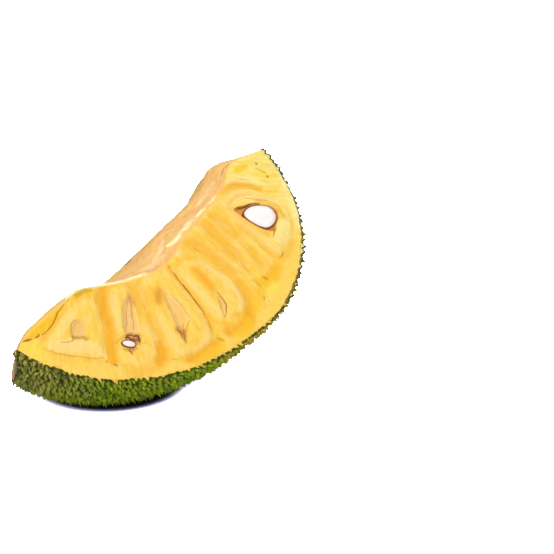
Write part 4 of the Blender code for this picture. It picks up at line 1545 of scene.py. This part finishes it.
# %% The flesh material
def make_flesh_material():
    """Yellow flesh with all its marks."""
    material, wire, shader = new_material(
        "ripe_flesh", Subsurface_Weight=0.22, Subsurface_Radius=(1.0, 0.55, 0.2),
        Subsurface_Scale=0.004, Specular_IOR_Level=0.2)
    grain = wire.painted("grain", "Vector")
    fibres = grain.stretched(4.6, 0.7, 0.0).noise(4.0, 0.5)
    threads = grain.stretched(12.0, 1.5, 0.0).noise(3.0, 0.3)
    clouds = grain.stretched(1.1, 0.45, 0.0).noise(3.0, 0.5)
    specks = grain.stretched(4.0, 4.0, 0.0).noise(5.0)
    patchy = grain.stretched(2.4, 0.9, 0.0).noise(4.0, 0.4)
    lumps = grain.stretched(2.2, 1.7, 0.0).noise(4.0, 0.6)
    blush = grain.stretched(1.3, 0.9, 0.0).noise(4.0, 0.8)
    broken = 0.45 + 1.1 * clouds
    fresh = wire.painted("fresh")
    border = (wire.painted("border") * (0.6 + 0.8 * specks)).limited()
    inside = 1.0 - wire.painted("hollow").rise(-0.14, 0.03)
    skin = (wire.painted("skin") + 0.7 * (specks - 0.5)).rise(0.34, 0.62) * 0.85
    edge = 1.0 - (wire.painted("line") + 0.03 * (specks - 0.5)).rise(0.0, 0.05)
    rim_colour = fresh.rise(0.72, 1.0).blend(seen(251, 214, 100), seen(252, 240, 162))
    pale_colour = fresh.blend(seen(254, 220, 134), seen(251, 238, 156))
    peach = layered(clouds.rise(0.35, 0.65).blend(seen(244, 186, 108), seen(250, 199, 110)), (
        (lumps.rise(0.52, 0.66) * 0.6, seen(250, 203, 88)),
        ((1.0 - lumps.rise(0.34, 0.48)) * 0.7, seen(240, 166, 108)),
    ))

    colour = layered(clouds.rise(0.3, 0.7).blend(seen(250, 201, 72), seen(251, 214, 92)), (
        (wire.painted("bulb") * 0.6, seen(251, 214, 96)),
        (fresh, seen(250, 230, 128)),
        (blush.rise(0.52, 0.64) * 0.5, seen(254, 218, 140)),
        ((1.0 - blush.rise(0.36, 0.48)) * 0.4, seen(250, 196, 66)),
        (patchy.rise(0.50, 0.70) * 0.50, seen(250, 190, 58)),
        ((1.0 - patchy.rise(0.28, 0.48)) * 0.40, seen(254, 225, 112)),
        (border, rim_colour),
        ((lumps.rise(0.50, 0.64) * border * 0.5).limited(), seen(252, 196, 66)),
        ((wire.painted("pale") * broken * 0.9).limited(), pale_colour),
        ((wire.painted("orange") * broken).limited(), seen(246, 176, 38)),
        ((wire.painted("lemon") * (0.5 + clouds)).limited(), seen(251, 222, 82)),
        ((wire.painted("bright") * broken).limited(), seen(250, 196, 34)),
        ((wire.painted("clear") * (0.4 + 1.0 * fibres)).limited(), seen(243, 195, 130)),
        (wire.painted("peach"), peach),
        (wire.painted("tan") * 0.8, seen(240, 166, 90)),
        ((wire.painted("cream") * (0.25 + 1.1 * fibres.rise(0.36, 0.60))).limited(), seen(268, 254, 196)),
        (fibres.rise(0.46, 0.72) * (0.30 - 0.16 * border), seen(248, 184, 52)),
        (threads.rise(0.55, 0.8) * (0.20 - 0.14 * border), seen(254, 230, 132)),
        (wire.painted("brown"), seen(184, 104, 40)),
        (wire.painted("green"), seen(176, 146, 16)),
        (skin, seen(94, 84, 38)),
        (inside, seen(232, 156, 70)),
        (edge * wire.painted("ink"), seen(146, 78, 20)),
    ))
    feed(shader, "Base Color", colour)
    feed(shader, "Roughness", 0.36 + 0.22 * fibres)
    relief = fibres * 0.5 + threads * 0.35 + specks * 0.15
    feed(shader, "Normal", relief.bump(0.22, 0.0012))
    return material


# %% [markdown]
# ## Rind
# Each spine is greenest on its flanks, with painted shade in the grooves where light hardly
# reaches, and a painted highlight that makes its tip yellower. The numbers stored with the
# spines give all three. The green is dull and brownish at the stalk end, and from the middle on
# it turns a yellowish olive. The same material shows the cut section of the rind, a line of skin
# over yellow.

# %% The rind material
def make_rind_material():
    """Green spines, and the yellow section below a thin skin."""
    material, wire, shader = new_material("green_rind", Specular_IOR_Level=0.12)
    grain = wire.painted("grain", "Vector")
    along = grain.node("ShaderNodeSeparateXYZ", {}, {"Vector": grain}, 0)
    blotches = grain.stretched(0.55, 0.55, 0.55).noise(3.0, 0.4)
    freckles = grain.stretched(7.0, 7.0, 7.0).noise(4.0)
    spine = wire.painted("spine")
    tint = wire.painted("tint")
    depth = wire.painted("depth")
    stalk = (1.0 - (along + 4.0 * (blotches - 0.5)).rise(-15.0, -11.0)) * 0.8
    blossom = along.rise(2.0, 8.0)

    green = layered(tint.blend(seen(98, 144, 0), seen(182, 210, 20)), (
        (blotches.rise(0.50, 0.78) * 0.6, seen(184, 174, 40)),
        (along.rise(-5.0, 3.0) * (0.9 - 0.5 * along.rise(4.0, 9.0)),
         tint.blend(seen(186, 152, 26), seen(238, 198, 62))),
        (stalk, tint.blend(seen(98, 100, 34), seen(188, 180, 98))),
    ))
    # Painted shade: the grooves between the spines are coloured darker than the flanks.
    groove = stalk.blend(seen(30, 40, 0), seen(52, 36, 14))
    skin = layered((spine + 0.36 * (freckles - 0.5)).rise(0.02, 0.46).blend(groove, green), (
        # Painted highlight: the upper part of each spine is coloured yellower.
        ((spine + 0.3 * (freckles - 0.5)).rise(0.60, 1.0) * (0.30 + 0.6 * tint), seen(214, 210, 84)),
        (freckles.rise(0.56, 0.66) * 0.55, seen(214, 212, 84)),
        ((1.0 - freckles.rise(0.34, 0.44)) * 0.5, seen(60, 62, 4)),
        # Painted shade on the underside near the foot, from the stored number below.
        (wire.painted("below") * 0.6, seen(40, 46, 8)),
    ))
    skin_line = blossom.blend(seen(72, 78, 24), seen(96, 100, 52))
    section = along.rise(6.0, 13.5).blend(seen(252, 208, 88), seen(252, 231, 146))
    colour = layered(skin, (
        (depth.rise(0.0, 0.01), skin_line),
        ((depth + 0.08 * (freckles - 0.5) - blossom * 0.12).rise(0.08, 0.16), section),
    ))
    feed(shader, "Base Color", colour)
    feed(shader, "Roughness", 0.50 + 0.25 * freckles)
    feed(shader, "Normal", freckles.bump(1.0, 0.0018))
    return material


# %% [markdown]
# ## Seeds and the skin round them
# The cut kernel is ivory with a trace of pink near its edge, and slightly waxy. The skin round it
# is a thin brown papery layer.

# %% The seed and seed coat materials
KERNEL_CLOUDS = 90             # to a metre
COAT_VEINS = 500


def make_seed_material():
    """Ivory kernel, pink where its painted rim is high."""
    material, wire, shader = new_material(
        "ivory_kernel", Subsurface_Weight=0.25, Subsurface_Radius=(1.0, 0.7, 0.5),
        Subsurface_Scale=0.003, Specular_IOR_Level=0.5)
    place = wire.node("ShaderNodeTexCoord", {}, {}, "Object")
    clouds = place.stretched(KERNEL_CLOUDS, KERNEL_CLOUDS, KERNEL_CLOUDS).noise(3.0)
    pink = wire.painted("rim").rise(0.62, 1.0) * clouds.rise(0.3, 0.6) * 0.8
    ivory = clouds.rise(0.35, 0.7).blend(seen(252, 254, 253), seen(252, 246, 240))
    feed(shader, "Base Color", pink.blend(ivory, seen(252, 214, 200)))
    feed(shader, "Roughness", 0.30 + 0.15 * clouds)
    return material


def make_coat_material():
    """Brown papery skin with fine veins."""
    material, wire, shader = new_material("brown_seed_skin", Specular_IOR_Level=0.3)
    place = wire.node("ShaderNodeTexCoord", {}, {}, "Object")
    veins = place.stretched(COAT_VEINS, COAT_VEINS, COAT_VEINS).noise(4.0, 0.5)
    feed(shader, "Base Color", veins.rise(0.35, 0.7).blend(seen(116, 58, 28), seen(178, 106, 62)))
    feed(shader, "Roughness", 0.5 + 0.2 * veins)
    feed(shader, "Normal", veins.bump(0.4, 0.0004))
    return material


# %% Give every piece its material
flesh.data.materials.append(make_flesh_material())
rind.data.materials.append(make_rind_material())
kernel = make_seed_material()
seed_skin = make_coat_material()
for seed, coat in seed_pieces:
    seed.data.materials.append(kernel)
    coat.data.materials.append(seed_skin)
print("materials:", sorted(m.name for m in bpy.data.materials if m.users))

# %% [markdown]
# ## Floor
# A plain white floor suits food. It is made over-bright, so that it looks clean and keeps only
# the darkest shadow, painted in an oval round the foot. Such a floor would also light the rind
# from below. So no light bounces off it, and a second floor just below, which the camera doesn't
# see, gives the object its ordinary reflected light.

# %% Two floors
FLOOR_SIZE = 60.0
FLOOR_GAP = 0.0002             # metres between the floor that is seen and the one that reflects
FOOT = (-0.038, 0.002, 0.0)    # metres, where the rind touches the floor
CONTACT = (0.056, 0.055)       # metres, half sizes of the dark contact shadow
CLEAR_RANGE = (0.72, 1.10)     # its soft edge, as shares of the half sizes
SEEN_WHITE = (12.0, 12.0, 18.0, 1.0)
SEEN_SHADOW = (0.02, 0.02, 0.03, 1.0)
BOUNCE_WHITE = (0.62, 0.62, 0.62, 1.0)
BOUNCE_SHADOW = (0.02, 0.02, 0.02, 1.0)


def floor_material(name, far, near):
    """A plain floor, darker in an oval round the foot where no light comes from any side."""
    material, wire, shader = new_material(name, Base_Color=far, Roughness=0.8, Specular_IOR_Level=0.1)
    place = wire.node("ShaderNodeTexCoord", {}, {}, "Object")
    away = place.node("ShaderNodeVectorMath", {"operation": "SUBTRACT"}, {0: place, 1: FOOT})
    away = away.stretched(1 / CONTACT[0], 1 / CONTACT[1], 0.0)
    reach = away.node("ShaderNodeVectorMath", {"operation": "LENGTH"}, {0: away}, "Value")
    clear = reach.rise(*CLEAR_RANGE)
    clear = clear * clear
    feed(shader, "Base Color", (clear * clear).blend(near, far))
    return material


def add_floor(name, level, far, near):
    """A plain square floor that belongs to the stage and casts no shadow."""
    mesh = bpy.data.meshes.new(name)
    half = FLOOR_SIZE / 2
    corners = [(-half, -half, level), (half, -half, level), (half, half, level), (-half, half, level)]
    mesh.from_pydata(corners, [], [(0, 1, 2, 3)])
    mesh.materials.append(floor_material(name, far, near))
    floor = bpy.data.objects.new(name, mesh)
    floor.visible_shadow = False
    bpy.context.scene.collection.objects.link(floor)
    return floor


seen_floor = add_floor("white_floor", 0.0, SEEN_WHITE, SEEN_SHADOW)
seen_floor.visible_diffuse = False
seen_floor.visible_glossy = False
seen_floor.visible_transmission = False
bounce_floor = add_floor("bounce_floor", -FLOOR_GAP, BOUNCE_WHITE, BOUNCE_SHADOW)
bounce_floor.visible_camera = False
print("floors:", seen_floor.name, "and", bounce_floor.name)

# %% [markdown]
# ## Light
# Food is lit softly from above. Three distant lamps do it, and their wide apparent sizes keep
# the shadows without an edge: a broad fill from above and a little behind, a key from above the
# front, and a lower card from the camera's side that brightens the front cut. A weak white sky
# fills what they leave.

# %% Lamps and sky: strength, apparent size in degrees, where the rays go
LAMPS = {
    "key": (0.96, 26, (0.30, 0.62, -0.80)),
    "fill": (1.95, 80, (-0.25, -0.45, -0.85)),
    "card": (1.85, 30, (0.70, 0.70, -0.52)),
}
SKY_STRENGTH = 0.22
WHITE = (1.0, 1.0, 1.0, 1.0)

for name, (strength, degrees, direction) in LAMPS.items():
    sun = bpy.data.lights.new(name, "SUN")
    sun.energy = strength
    sun.angle = math.radians(degrees)
    lamp = bpy.data.objects.new(name, sun)
    lamp.rotation_euler = Vector(direction).to_track_quat("-Z", "Y").to_euler()
    bpy.context.scene.collection.objects.link(lamp)

world = bpy.data.worlds.new("sky")
world.use_nodes = True
background = world.node_tree.nodes["Background"]
background.inputs["Color"].default_value = WHITE
background.inputs["Strength"].default_value = SKY_STRENGTH
bpy.context.scene.world = world
bpy.context.scene.view_settings.view_transform = "Standard"
print("lamps:", ", ".join(LAMPS), "and a sky")

# %% [markdown]
# ## Camera
# A long lens, set well back, keeps the wedge's two ends in proportion. The camera looks at the
# front cut from above its stalk end, with the object in the left half of the picture.

# %% Camera
CAMERA_AZIMUTH = math.radians(-53.695)
CAMERA_ELEVATION = math.radians(17.135)
CAMERA_ROLL = math.radians(0.417)
CAMERA_TARGET = Vector((0.0496, -0.0921, 0.0856))
CAMERA_DISTANCE = 1.293
CAMERA_LENS = 108.75
SENSOR_WIDTH = 36.0


def add_camera():
    """A camera that looks at its target from an azimuth, an elevation and a distance."""
    level = math.cos(CAMERA_ELEVATION)
    backward = Vector((math.sin(CAMERA_AZIMUTH) * level, -math.cos(CAMERA_AZIMUTH) * level,
                       math.sin(CAMERA_ELEVATION)))
    right = Vector((math.cos(CAMERA_AZIMUTH), math.sin(CAMERA_AZIMUTH), 0))
    up = backward.cross(right)
    right = right * math.cos(CAMERA_ROLL) + up * math.sin(CAMERA_ROLL)
    up = backward.cross(right)
    lens = bpy.data.cameras.new("camera")
    lens.lens = CAMERA_LENS
    lens.sensor_width = SENSOR_WIDTH
    camera = bpy.data.objects.new("camera", lens)
    camera.matrix_world = (Matrix.Translation(CAMERA_TARGET + backward * CAMERA_DISTANCE)
                           @ Matrix((right, up, backward)).transposed().to_4x4())
    bpy.context.scene.collection.objects.link(camera)
    return camera


camera = add_camera()
bpy.context.scene.camera = camera
print("camera at, in metres:", [round(v, 2) for v in camera.matrix_world.translation])

# %% [markdown]
# ## Done
# The view layer is brought up to date at the end.

# %% Finish
bpy.context.view_layer.update()
